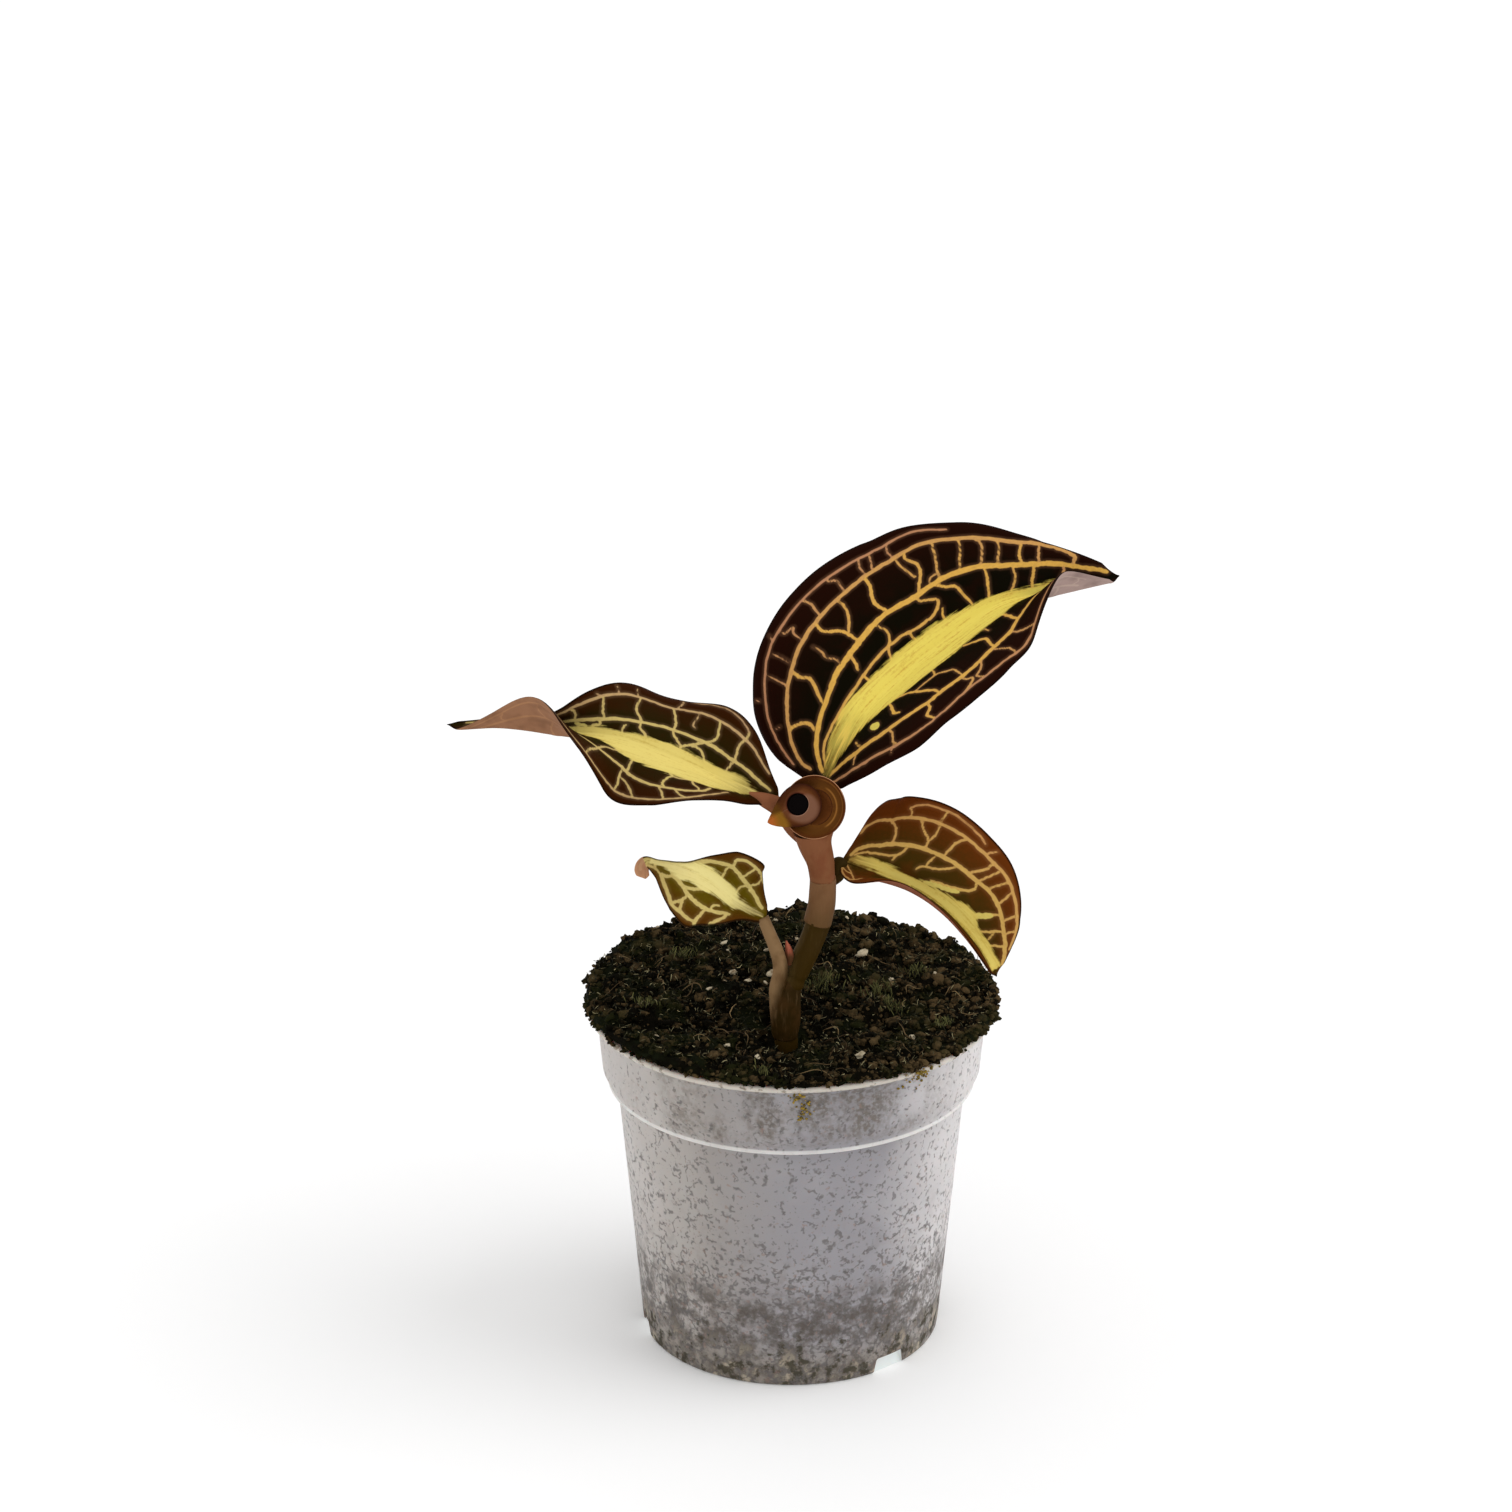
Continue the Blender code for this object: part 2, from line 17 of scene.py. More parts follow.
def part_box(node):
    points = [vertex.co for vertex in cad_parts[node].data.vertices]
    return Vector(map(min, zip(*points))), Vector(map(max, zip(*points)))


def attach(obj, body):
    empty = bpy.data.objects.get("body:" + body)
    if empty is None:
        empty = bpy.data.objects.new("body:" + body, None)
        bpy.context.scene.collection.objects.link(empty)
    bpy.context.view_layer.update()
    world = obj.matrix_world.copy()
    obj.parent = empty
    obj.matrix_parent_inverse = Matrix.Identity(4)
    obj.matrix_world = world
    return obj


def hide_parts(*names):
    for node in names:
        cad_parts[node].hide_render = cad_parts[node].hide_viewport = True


bl_info = {
    "name": "Potted Jewel Orchid",
    "version": (1, 0, 0),
    "blender": (4, 5, 0),
    "location": "3D View > Sidebar > Orchid",
    "description": "Builds a jewel orchid with veined leaves in a small nursery pot",
    "category": "Add Mesh",
}

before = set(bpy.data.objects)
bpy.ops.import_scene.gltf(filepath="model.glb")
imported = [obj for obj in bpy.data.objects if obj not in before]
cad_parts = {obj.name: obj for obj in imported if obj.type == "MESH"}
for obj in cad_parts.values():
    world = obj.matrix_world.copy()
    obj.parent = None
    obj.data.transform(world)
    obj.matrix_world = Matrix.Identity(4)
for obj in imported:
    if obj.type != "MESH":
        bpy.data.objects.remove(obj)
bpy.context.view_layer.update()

MM = 0.001
WELD = 0.002
TOWARD_VIEWER = np.array((0.0, -1.0, 0.0))

# The pot's outline
POT_HEIGHT = 52.1
POT_WALL = 0.8
FOOT_RADIUS = 22.0
BODY_TOP_RADIUS = 25.7
LEDGE_HEIGHT = 40.2
COLLAR = ((27.0, 40.6), (27.8, 42.4), (28.1, 45.5), (28.5, 50.0))
LIP_RADIUS = 30.0
LIP_LOW = 51.1
BASE_HEIGHT = 2.0
FOOT_PAD_RADIUS = 5.0
NOTCH_ANGLES = (41.0, 161.0, 281.0)
NOTCH_SPAN = 17.0
NOTCH_HEIGHT = 2.5
NOTCH_DEPTH = 0.6
NOTCH_TAPER = 0.8
NOTCH_ROUNDING = 0.4
DRAIN_ANGLES = (11.0, 71.0, 131.0, 191.0, 251.0, 311.0)
DRAIN_RADIUS = 1.9
DRAIN_CIRCLE = 13.0
WOBBLE_FROM = 3.0
WOBBLE_RISE = 12.0
SHARP_ANGLE = 38.0

# The soil's surface, as the solid has it
SOIL_SEED = 11
CRUMB_COUNT = 190
CRUMB_SIZES = (1.6, 3.4)
CRUMB_HEIGHTS = (0.4, 1.5)
SOIL_EDGE_RADIUS = 30.1
SOIL_LEVEL = 52.7
SOIL_HEAP = 3.6
SOIL_REAR_RISE = 0.5
SOIL_LEFT_RISE = 1.2
SOIL_HOLLOW = ((-1.0, -17.0), 1.6, 7.7)

# The soil bed: its edge, its gap to the pot, its faces, and the fine bumps that the solid lacks
SOIL_EDGE_LEVEL = 52.9
SOIL_GAP = 0.3
SOIL_SIDES = 260
SOIL_RINGS = 96
BUMP_PITCH = 0.55
BUMP_HEIGHT = 0.55
BUMP_SINK = 0.25

# The soil's side inside the pot: a chamfer at its foot, the heights of its points on the pot's wall, and then
# the radius and height of those in the collar
SOIL_CHAMFER = 0.8
SOIL_WALL_HEIGHTS = (20, 39.7)
SOIL_COLLAR = ((26.6, 46.5), (27.4, 50.2), (28.7, 52.2), (29.2, 52.4))

# What lies on the soil: x, y and size of each large flake, x, y, spread and length of each moss tuft, angle,
# size and count of the clumps at the lip, and angle, height, spread and count of the moss on the lip. Crumbs
# are spilled most at two angles, with a spread, and fewer all round, each between two radii.
LARGE_FLAKES = ((10.4, 8.6, 1.0), (-8.6, 1.0, 0.7), (-3.0, 0.4, 0.75), (-6.4, -2.6, 0.5), (-9.9, 9.6, 0.5),
                (-9.3, -19.5, 0.5), (9.6, -24.0, 0.7))
MOSS_TUFTS = ((4.4, -1.6, 2.6, 1.9), (12.8, -3.4, 2.2, 1.7), (14.6, -8.0, 1.8, 1.4), (-16, 8, 2.4, 1.5),
              (-4.2, -26.4, 1.4, 1.0), (21.8, -12.5, 1.6, 1.2), (18.5, 4.0, 2.0, 1.4), (-21, -8, 1.8, 1.2))
LIP_CLUMPS = ((144, 1.1, 7), (150, 0.8, 6), (170, 0.8, 9), (190, 0.7, 9), (-14, 0.7, 9), (2, 0.6, 6))
SPILL_ANGLES = (184, -8)
SPILL_SPREAD = 17
SPILL_RADII = (28.9, 30.35)
EDGE_RADII = (28.4, 30.1)
CLUMP_RADII = (29.4, 30.4)
LIP_MOSS = ((271.5, 50.2, 1.5, 36), (273.5, 48.4, 1.2, 20), (272.6, 46.6, 0.9, 12), (307.0, 51.6, 2.4, 60),
            (310.0, 50.6, 1.6, 24))

# The stem, from its buried end to its tip: place and radius
STEM_PATH = (
    ((-1.0, -14.6, 44.0), 1.4),
    ((-0.9, -15.0, 51.0), 1.62),
    ((-1.0, -15.0, 55.0), 1.75),
    ((-0.9, -15.0, 60.0), 1.75),
    ((0.5, -15.0, 63.2), 1.8),
    ((2.4, -15.0, 67.4), 1.75),
    ((3.6, -15.0, 71.2), 1.75),
    ((4.3, -15.0, 76.0), 1.5),
    ((4.0, -15.0, 80.0), 1.5),
    ((3.2, -15.0, 83.2), 1.7),
)
STEM_NODES = (54.6, 62.0, 71.4, 77.9)
NECK_TOP = ((2.9, -15.0, 85.4), 1.7)

# Where the stem leaves the soil, and how far what lies there keeps from it
STEM_FOOT = (-0.9, -15.0)
STEM_CLEARANCE = 2.4
CRUMB_CLEARANCE = 2.6
FUZZ_CLEARANCE = 2.2

# The leaf stalks and the side bud, from the stem outwards: place and radius
LEFT_STALK = (((2.2, -13.6, 82.2), 0.6), ((0.2, -12.6, 84.6), 1.2), ((-1.5, -12.0, 87.3), 1.4),
              ((-4.0, -12.3, 88.9), 1.05), ((-6.6, -12.6, 90.0), 0.35))
RIGHT_STALK = (((4.5, -13.4, 74.2), 0.6), ((5.2, -12.8, 76.2), 0.9), ((6.2, -12.5, 77.6), 1.3),
               ((6.6, -12.5, 79.0), 1.2), ((7.8, -12.7, 79.2), 0.5))
LOWER_STALK = (((-1.6, -15.6, 55.4), 0.7), ((-2.2, -16.3, 60.6), 1.15), ((-1.8, -17.1, 65.8), 1.05),
               ((-4.2, -15.7, 72.2), 0.85))
BUD_PATH = (((-0.5, -15.9, 65.0), 0.42), ((-0.45, -16.0, 66.4), 0.66), ((-0.6, -16.1, 67.6), 0.46),
            ((-0.9, -16.2, 68.8), 0.10))

# The sheaths, which clasp the stem from low to high. The radius goes from start to end, with a bulge
# between, and the mouth is higher by mouth_rise on the side at mouth_turn, in turns from -Y.
Sheath = namedtuple("Sheath", "low high start end mouth_turn mouth_rise bulge", defaults=(0.0,))
LEFT_SHEATH = Sheath(low=77.6, high=85.3, start=1.80, end=2.95, mouth_turn=0.0, mouth_rise=0.0)
RIGHT_SHEATH = Sheath(low=71.2, high=77.8, start=2.0, end=1.86, mouth_turn=0.5, mouth_rise=0.4)
LOWER_SHEATH = Sheath(low=53.2, high=61.2, start=1.80, end=1.96, mouth_turn=0.75, mouth_rise=1.4, bulge=0.4)
SHEATH_WALL = 0.28

# The crown
CROWN_CENTRE = (3.1, -15.6, 89.15)
CROWN_AXIS = (-0.22, -0.88, 0.42)
CROWN_SIDES = 144
ROLL_ASIDE = 176.0
FIN_ANGLE = 212.0
FIN_SPREADS = (21.0, 27.0)
FIN_LENGTH = 2.4
HOOD_PROFILE = (
    (-4.5, 0.0, 0, 0), (-4.3, 1.4, 0, 0), (-3.4, 2.9, 0, 0), (-1.7, 4.0, 0, 0), (-0.2, 4.42, 0, 0),
    (0.5, 4.52, 0, 0), (0.62, 4.46, 0, 0), (0.52, 4.34, 0, 0), (0.15, 3.9, 0, 0), (-0.1, 3.2, 0, 0),
    (0.0, 2.8, 0, 0), (0.22, 2.5, 0, 0), (0.0, 2.25, 0, 0), (-0.4, 1.4, 0, 0), (-0.6, 0.0, 0, 0),
)
ROLL_PROFILE = (
    (-2.4, 0.0, 1.5, 0), (-2.2, 1.0, 1.5, 0), (-1.2, 1.9, 1.66, 0.1), (-0.2, 2.5, 1.85, 0.35),
    (0.5, 2.85, 1.85, 0.8), (0.78, 3.0, 1.85, 1.0), (0.88, 2.98, 1.85, 0.98), (0.84, 2.75, 1.86, 0.85),
    (0.80, 2.4, 1.95, 0.55), (0.90, 2.12, 2.12, 0.25), (1.02, 1.92, 2.25, 0.08), (1.06, 1.72, 2.3, 0),
    (0.98, 1.56, 2.3, 0), (0.70, 1.5, 2.3, 0), (0.46, 1.3, 2.3, 0), (0.41, 0.8, 2.3, 0), (0.39, 0.0, 2.3, 0),
)

# How a blade leaves its rib, how far from the veins, the margin and the rib its relief, edge and keel reach,
# and the shares of the rib over which its base and tip are rounded
KEEL_RADIUS = 1.6
BLADE_CURL = 20.0
CELL_SLOPE = 0.9
MARGIN_SLOPE = 1.2
EDGE_SLOPE = 0.6
KEEL_WIDTH = 0.75
RELIEF_BELOW = 0.7
BASE_ROUNDING = 0.018
TIP_ROUNDING = 0.035

# The stage: the floor's half width in metres, and where the camera looks
FLOOR_HALF = 6.0
CAMERA_AIM = (-5.2, 0, 90.6)


# One leaf: its rib's points, and the width and upward fold of each half at even steps from base to tip. far
# is the half away from the viewer, near the other. facing is where the upper face looks: degrees to the
# right of the viewer, and degrees up. turn is 1 for a leaf that runs to the left, and -1 for one that runs
# to the right. crowding above 1 sets the steps closer together at the base. Beyond bare_tip, a share of the
# rib, both faces look like the underside.
Leaf = namedtuple("Leaf", "rib far near facing turn crowding bare_tip", defaults=(1.0,))

LEAF_TOP = Leaf(
    rib=((4.3, -10.6, 89.8), (9, -6.5, 98.5), (15, -2, 103.5), (22, 2, 108), (29.5, 5.5, 112), (38, 8, 113),
         (47, 10, 114.5)),
    far=((3.6, -25), (6.9, -25), (10.3, -25), (13, -24), (15.2, -22), (16.8, -19), (18.4, -15), (19.5, -12),
         (20.3, -10), (20.8, -10), (20.9, -10), (20.4, -10), (19.4, -10), (17.8, -8), (14.0, -5),
         (10.2, -2), (7.8, 0), (4.6, 8), (0.9, 20)),
    near=((1.6, 40), (3.8, 40), (9.2, 45), (15, 45), (16, 45), (16.5, 45), (15.6, 45), (13.2, 50),
          (8.6, 98), (0.9, 100)),
    facing=(0, 38), turn=-1, crowding=1.6,
)
LEAF_LEFT = Leaf(
    rib=((-2, -12, 88), (-9.5, -12.5, 92), (-17, -12, 95.5), (-24.5, -11, 98), (-32.5, -10, 98.5),
         (-41, -8.5, 99), (-49, -7.5, 98.5)),
    far=((1, 0), (4, 5), (8.5, 0), (11, -15), (10.7, -28), (10.2, -28), (6.2, 20), (3.2, 90), (0.9, 110),
         (0.3, 100)),
    near=((0.6, 45), (1.6, 50), (6.2, 60), (10.6, 55), (12.5, 40), (11.5, 28), (12, 68), (10.4, 106),
          (4.4, 112), (0.6, 90)),
    facing=(0, 38), turn=1, crowding=1.3,
)
LEAF_LOWER = Leaf(
    rib=((-3.8, -15.5, 72.0), (-8, -15.5, 74.5), (-11.5, -16, 78), (-15.5, -16.5, 80.2),
         (-18.9, -15.7, 80.7), (-20.8, -14.8, 80.1), (-20.9, -15, 77.9)),
    far=((1, 10), (2.9, 22), (5.1, 34), (6.6, 37), (7.2, 39), (6.4, 47), (4.0, 57), (1.5, 55), (0.7, 50),
         (0.5, 25), (0.5, 0), (0.8, 0), (1.3, 0), (1.5, 0), (1.0, 0)),
    near=((0.8, 30), (2.6, 35), (6.5, 25), (8, 0), (5.6, -5), (2.0, 0), (0.7, 0), (0.6, 0)),
    facing=(-10, 45), turn=1, crowding=1.1, bare_tip=0.82,
)
LEAF_RIGHT = Leaf(
    rib=((6.9, -12.4, 79.3), (11.5, -13.5, 78.0), (17, -14.5, 76.3), (21.8, -15.5, 73.2), (26, -15.5, 68.3),
         (29.2, -15.5, 62.9)),
    far=((1.0, 5), (3.3, 5), (8.7, 5), (10.8, 9), (11.5, 14), (12.1, 19), (12.5, 25), (12.9, 33),
         (13.1, 42), (12.8, 46), (12.2, 50), (10.5, 55), (8, 60), (4.2, 54), (0.6, 45)),
    near=((1, 30), (3.1, 30), (4.6, 50), (3.4, 80), (2.4, 88), (2.0, 82), (1.4, 70), (0.6, 60)),
    facing=(15, 45), turn=-1, crowding=1.4,
)

# A vein is its width, its tone and its points. Tone is 2 for the band's yellow, 1 for gold and 0 for pinkish
# brown. Points are hundredths: how far along the rib, and how far across, from -100 at the near margin to
# 100 at the far one.
TOP_VEINS = (
    (0.40, 0.0, ((2.4, 60), (5.3, 72), (8.2, 79), (12, 84), (19.4, 90), (25, 90), (35, 89), (47, 88),
                 (52, 89), (56, 90), (61, 92), (65, 90))),
    (0.60, 0.5, ((3, 28), (3.5, 42), (6, 52), (9, 56), (12, 60), (15, 63), (19, 66), (23.5, 69), (29, 70),
                 (38, 71), (44, 72.5), (50, 74), (56, 76), (62, 78), (68, 77.5), (73.5, 79), (77, 84),
                 (80, 88), (85, 92), (88, 91), (90, 85), (89.7, 70), (89, 56))),
    (0.78, 1.0, ((3.5, 10), (6, 20), (9, 25), (13, 27.5), (18, 29), (22, 32.5), (26.5, 34.5), (31, 36),
                 (35, 37.5), (41, 39.7), (46, 39), (50, 38.7), (56, 40), (62, 41), (68, 42), (71, 42),
                 (75, 45), (79.5, 49), (83.5, 52.5), (88, 52.5), (93, 51), (97, 50))),
    (0.42, 0.8, ((4.5, 6), (6.5, 13), (9.5, 16.5), (14.5, 15), (19.5, 15), (25, 16.5), (29.5, 18.5),
                 (35, 20), (41, 20), (44.5, 18.5), (49, 18.3), (52, 20), (54, 24), (54.6, 27.5), (53, 31),
                 (51, 34), (50.3, 37.5))),
    (0.70, 0.9, ((3.5, -2), (5.3, -13), (7.6, -23), (10, -35), (13.5, -43), (17.6, -51), (22.4, -57.5),
                 (26.5, -62), (30.6, -64), (35, -64), (41, -66), (46, -66.7), (50, -65), (56, -64),
                 (62, -62.5), (66.5, -57.5), (70.6, -55), (78, -48), (88, -42))),
    (0.40, 0.1, ((2, -25), (3, -43), (5.3, -55), (9, -67), (13.5, -76), (19, -83), (23.5, -87), (29.5, -87),
                 (38, -85), (46, -86), (52, -88), (58, -92), (65, -94), (69.4, -92.5), (80, -85),
                 (90, -75))),
    (0.28, 0.2, ((15.8, 87), (16, 76), (16, 64))),
    (0.30, 0.2, ((19.2, 88), (19.7, 78), (19.7, 68))),
    (0.34, 0.2, ((23.2, 89), (23.8, 84), (25.5, 81.5), (24.5, 78.7), (24.7, 70))),
    (0.38, 0.3, ((31.5, 89), (32.2, 82), (31.4, 72))),
    (0.34, 0.2, ((38.8, 88), (38.5, 85.5), (39.8, 82), (39.2, 72))),
    (0.30, 0.2, ((46.7, 88), (45.6, 81), (45.2, 74))),
    (0.30, 0.2, ((49.3, 87.5), (48.4, 81), (47.4, 75))),
    (0.30, 0.1, ((54.4, 88), (53.5, 82), (53.8, 76))),
    (0.22, 0.0, ((11.3, 97), (11.7, 90))),
    (0.20, 0.0, ((8, 72), (8.7, 66))),
    (0.20, 0.0, ((21.8, 96), (21.4, 91))),
    (0.52, 0.8, ((8.8, 56), (10, 50), (11.2, 42), (11.5, 35), (10.8, 30))),
    (0.50, 0.8, ((18.6, 64.5), (18.4, 56), (19.2, 49), (18.2, 41), (16.5, 32))),
    (0.30, 0.4, ((24.7, 60), (25, 53), (24.6, 47), (25.6, 41), (25.7, 37))),
    (0.50, 0.9, ((29.1, 69), (28.8, 61), (31.2, 54), (32.5, 47), (33, 38))),
    (0.42, 0.7, ((36.7, 70), (36.6, 61), (34.8, 52), (33, 47))),
    (0.52, 0.9, ((44.6, 72), (44.2, 64), (42.4, 54), (42.3, 47), (43.2, 40))),
    (0.34, 0.6, ((53.7, 76), (53.6, 66), (54.1, 55), (54.5, 53))),
    (0.44, 0.8, ((56.2, 76), (55.6, 70), (56.7, 61), (55.6, 52), (53.5, 45), (52.5, 41))),
    (0.36, 0.6, ((61.7, 77), (61, 68), (60.2, 58), (58.8, 47), (58.8, 42))),
    (0.36, 0.7, ((65.7, 77), (65, 64), (63.6, 50), (63, 41))),
    (0.38, 0.5, ((68.1, 77), (68.5, 66), (67.6, 52), (66.9, 42))),
    (0.34, 0.6, ((71.5, 77.5), (71.4, 66), (70.4, 50), (70.2, 43))),
    (0.40, 0.8, ((76.6, 82), (75.6, 67), (75.2, 56), (75.6, 46))),
    (0.36, 0.4, ((82, 90), (81, 75), (80.4, 62), (80, 50))),
    (0.26, 0.5, ((59, 47), (56.5, 45), (56, 41))),
    (0.44, 0.8, ((28.7, 33.5), (28, 28), (27.2, 23))),
    (0.36, 0.8, ((38.5, 38), (39.5, 30), (38.8, 24), (36.5, 18), (35, 9))),
    (0.42, 0.9, ((27, 17), (27, 8))),
    (0.36, 0.9, ((43.3, 19), (43.3, 8))),
    (0.34, 0.9, ((54.3, 20), (53, 15), (52.8, 8))),
    (0.42, 0.9, ((56.5, 38.5), (58.2, 33), (60, 29), (60.3, 20), (60.6, 9))),
    (0.42, 0.9, ((67.2, 41), (66.8, 28), (66, 18), (65, 8))),
    (0.32, 0.7, ((73, 42), (73, 28), (72.2, 18), (71, 9))),
    (0.42, 0.9, ((78.5, 47), (77.8, 32), (77, 20), (76.5, 8))),
    (0.34, 0.3, ((86.6, 52), (86.2, 36), (84.5, 20))),
    (0.30, 0.7, ((12.2, -19), (11.7, -28), (11.8, -38))),
    (1.3, 2.0, ((17.1, -27.5), (17.4, -33.5))),
    (0.48, 1.0, ((24.5, -24), (23, -36), (22.2, -40), (23, -46))),
    (0.46, 0.9, ((27, -25), (30, -32), (31.5, -40), (33, -48), (34.5, -56), (34.5, -63))),
    (0.34, 0.6, ((31.5, -37), (36, -38), (39, -39), (41.5, -46), (43, -51), (43, -63))),
    (0.30, 0.8, ((39.6, -26), (39.5, -33), (38.5, -38))),
    (0.46, 0.9, ((50.5, -30), (53, -37), (55.5, -45), (55.2, -55), (55, -64))),
    (0.28, 0.6, ((57.5, -28), (58.2, -38))),
    (0.50, 0.9, ((64.5, -28), (65.5, -40), (66, -50), (66.8, -58))),
    (0.34, 0.5, ((17.6, -52), (17.2, -60), (15.5, -70), (15.2, -78))),
    (0.46, 0.8, ((29.5, -64), (28, -72), (25.5, -77), (25.8, -86))),
    (0.36, 0.5, ((42, -66), (42.5, -73), (44, -78), (41, -83), (38.5, -85))),
    (0.32, 0.4, ((50, -66), (47.5, -75), (45.2, -78.5), (46.5, -85))),
    (0.32, 0.4, ((53.5, -65), (56, -74), (57.5, -82), (57.8, -91))),
    (0.34, 0.4, ((61.5, -63), (63.5, -72), (66.5, -82), (69, -93))),
    (0.30, 0.4, ((10, -35), (8.5, -42), (7.3, -50))),
    (0.22, 0.1, ((14, -77), (13, -84))),
    (0.32, 0.3, ((78, -48), (80, -66), (80, -84))),
    (0.32, 0.3, ((86, -43), (88, -60), (88, -77))),
    (0.36, 0.5, ((80, -4), (82, -28), (82, -46))),
)
LEFT_VEINS = (
    (0.80, 2.0, ((64, 8), (67, 11), (70, 13))),
    (0.60, 2.0, ((66, 0), (69, 4), (72, 5))),
    (0.50, 2.0, ((60, 17), (62, 22), (63, 27))),
    (0.40, 0.2, ((6, 83), (9, 75), (13, 72.5), (20, 71.5), (25, 73), (30, 77.5), (35, 78), (38, 75.5),
                 (44, 76), (50, 75), (56, 76), (62, 77), (66, 81), (72, 84), (82, 80), (92, 70))),
    (0.22, 0.0, ((15.5, 85), (17, 90), (22, 94), (28, 95.5), (33, 97))),
    (0.50, 0.8, ((4, 42), (8, 36), (12, 33), (17, 31.5), (22, 33), (27, 34.5), (33, 36.5), (38, 36.5),
                 (44, 32), (50, 28.5), (56, 29), (61, 34), (66, 38), (74, 40), (84, 38), (94, 30))),
    (0.48, 0.7, ((21, -62), (22, -72), (24, -77), (27, -77), (31, -71), (36, -66), (41, -59), (45, -53),
                 (47, -49), (52, -48), (58, -48), (70, -50), (84, -46), (94, -38))),
    (0.34, 0.3, ((16, -62), (20, -83), (26, -93), (34, -91.5), (40, -89), (46, -87), (50, -87), (56, -90),
                 (66, -88), (80, -84), (92, -76))),
    (0.40, 0.6, ((49, -27), (53, -32), (54.5, -42), (55.5, -55), (56.5, -68), (57, -80), (57, -88))),
    (0.34, 0.6, ((15.5, 87), (15.5, 78), (16.5, 62), (17, 50), (16.5, 36), (17.2, 22), (17.8, 11))),
    (0.38, 0.8, ((24.3, 72), (24, 60), (23.5, 48), (25, 38), (27.5, 30), (30, 22), (32, 15), (32, 5))),
    (0.22, 0.2, ((30.3, 76), (30.8, 62), (31, 55), (30.2, 50))),
    (0.36, 0.7, ((38, 75), (36.8, 62), (35.8, 48), (35.8, 37), (35, 28), (33.5, 22), (32, 15))),
    (0.38, 0.7, ((47.5, 75), (48, 60), (47.5, 48), (46, 38), (45.5, 30), (45, 20), (43, 13), (42, 4))),
    (0.34, 0.7, ((56, 76), (56, 60), (55.8, 45), (55, 30))),
    (0.32, 0.6, ((65, 80), (63.7, 66), (63.2, 50), (63.5, 36))),
    (0.26, 0.1, ((36, 97), (36, 88), (37, 78))),
    (0.20, 0.1, ((53.5, 93), (53, 85), (53, 76))),
    (0.20, 0.1, ((58, 86), (56.5, 77))),
    (0.24, 0.2, ((49, 90), (48.5, 76))),
    (0.32, 0.8, ((24, 6), (25.5, 17), (27, 22.5), (28.5, 23), (30, 22))),
    (0.28, 0.8, ((49, 20), (49.8, 12), (49, 2))),
    (0.38, 0.9, ((56.5, 29), (56, 19), (58, 17), (57.5, 8), (55.5, 2))),
    (0.34, 0.8, ((63, 34), (62.5, 18), (61.5, 3))),
    (0.40, 0.9, ((33.5, -34), (31.5, -43), (32.5, -50), (33.5, -60), (32.5, -69))),
    (0.34, 0.7, ((31, -45), (29, -48), (26.2, -48), (25.5, -58), (24, -68), (23.5, -76))),
    (0.36, 0.8, ((43.5, -28), (44, -40), (44, -50), (45, -54))),
    (0.34, 0.7, ((46, -52), (46.2, -65), (45.7, -78), (46.5, -87))),
    (0.30, 0.6, ((45.8, -65), (43, -70), (41, -78), (39.5, -88))),
    (0.32, 0.6, ((34, -68), (32.5, -82), (31.5, -92))),
    (0.32, 0.6, ((29.5, -75), (28, -86), (26.5, -93))),
    (0.28, 0.4, ((72, 84), (72, 60), (72, 40))),
    (0.28, 0.4, ((82, 80), (81, 60), (81, 39))),
    (0.28, 0.4, ((70, -50), (72, -68), (72, -86))),
    (0.28, 0.4, ((82, -47), (83, -64), (82, -83))),
    (0.30, 0.5, ((70, 0), (71, 20), (70, 39))),
    (0.30, 0.5, ((68, -4), (69, -26), (68, -49))),
)
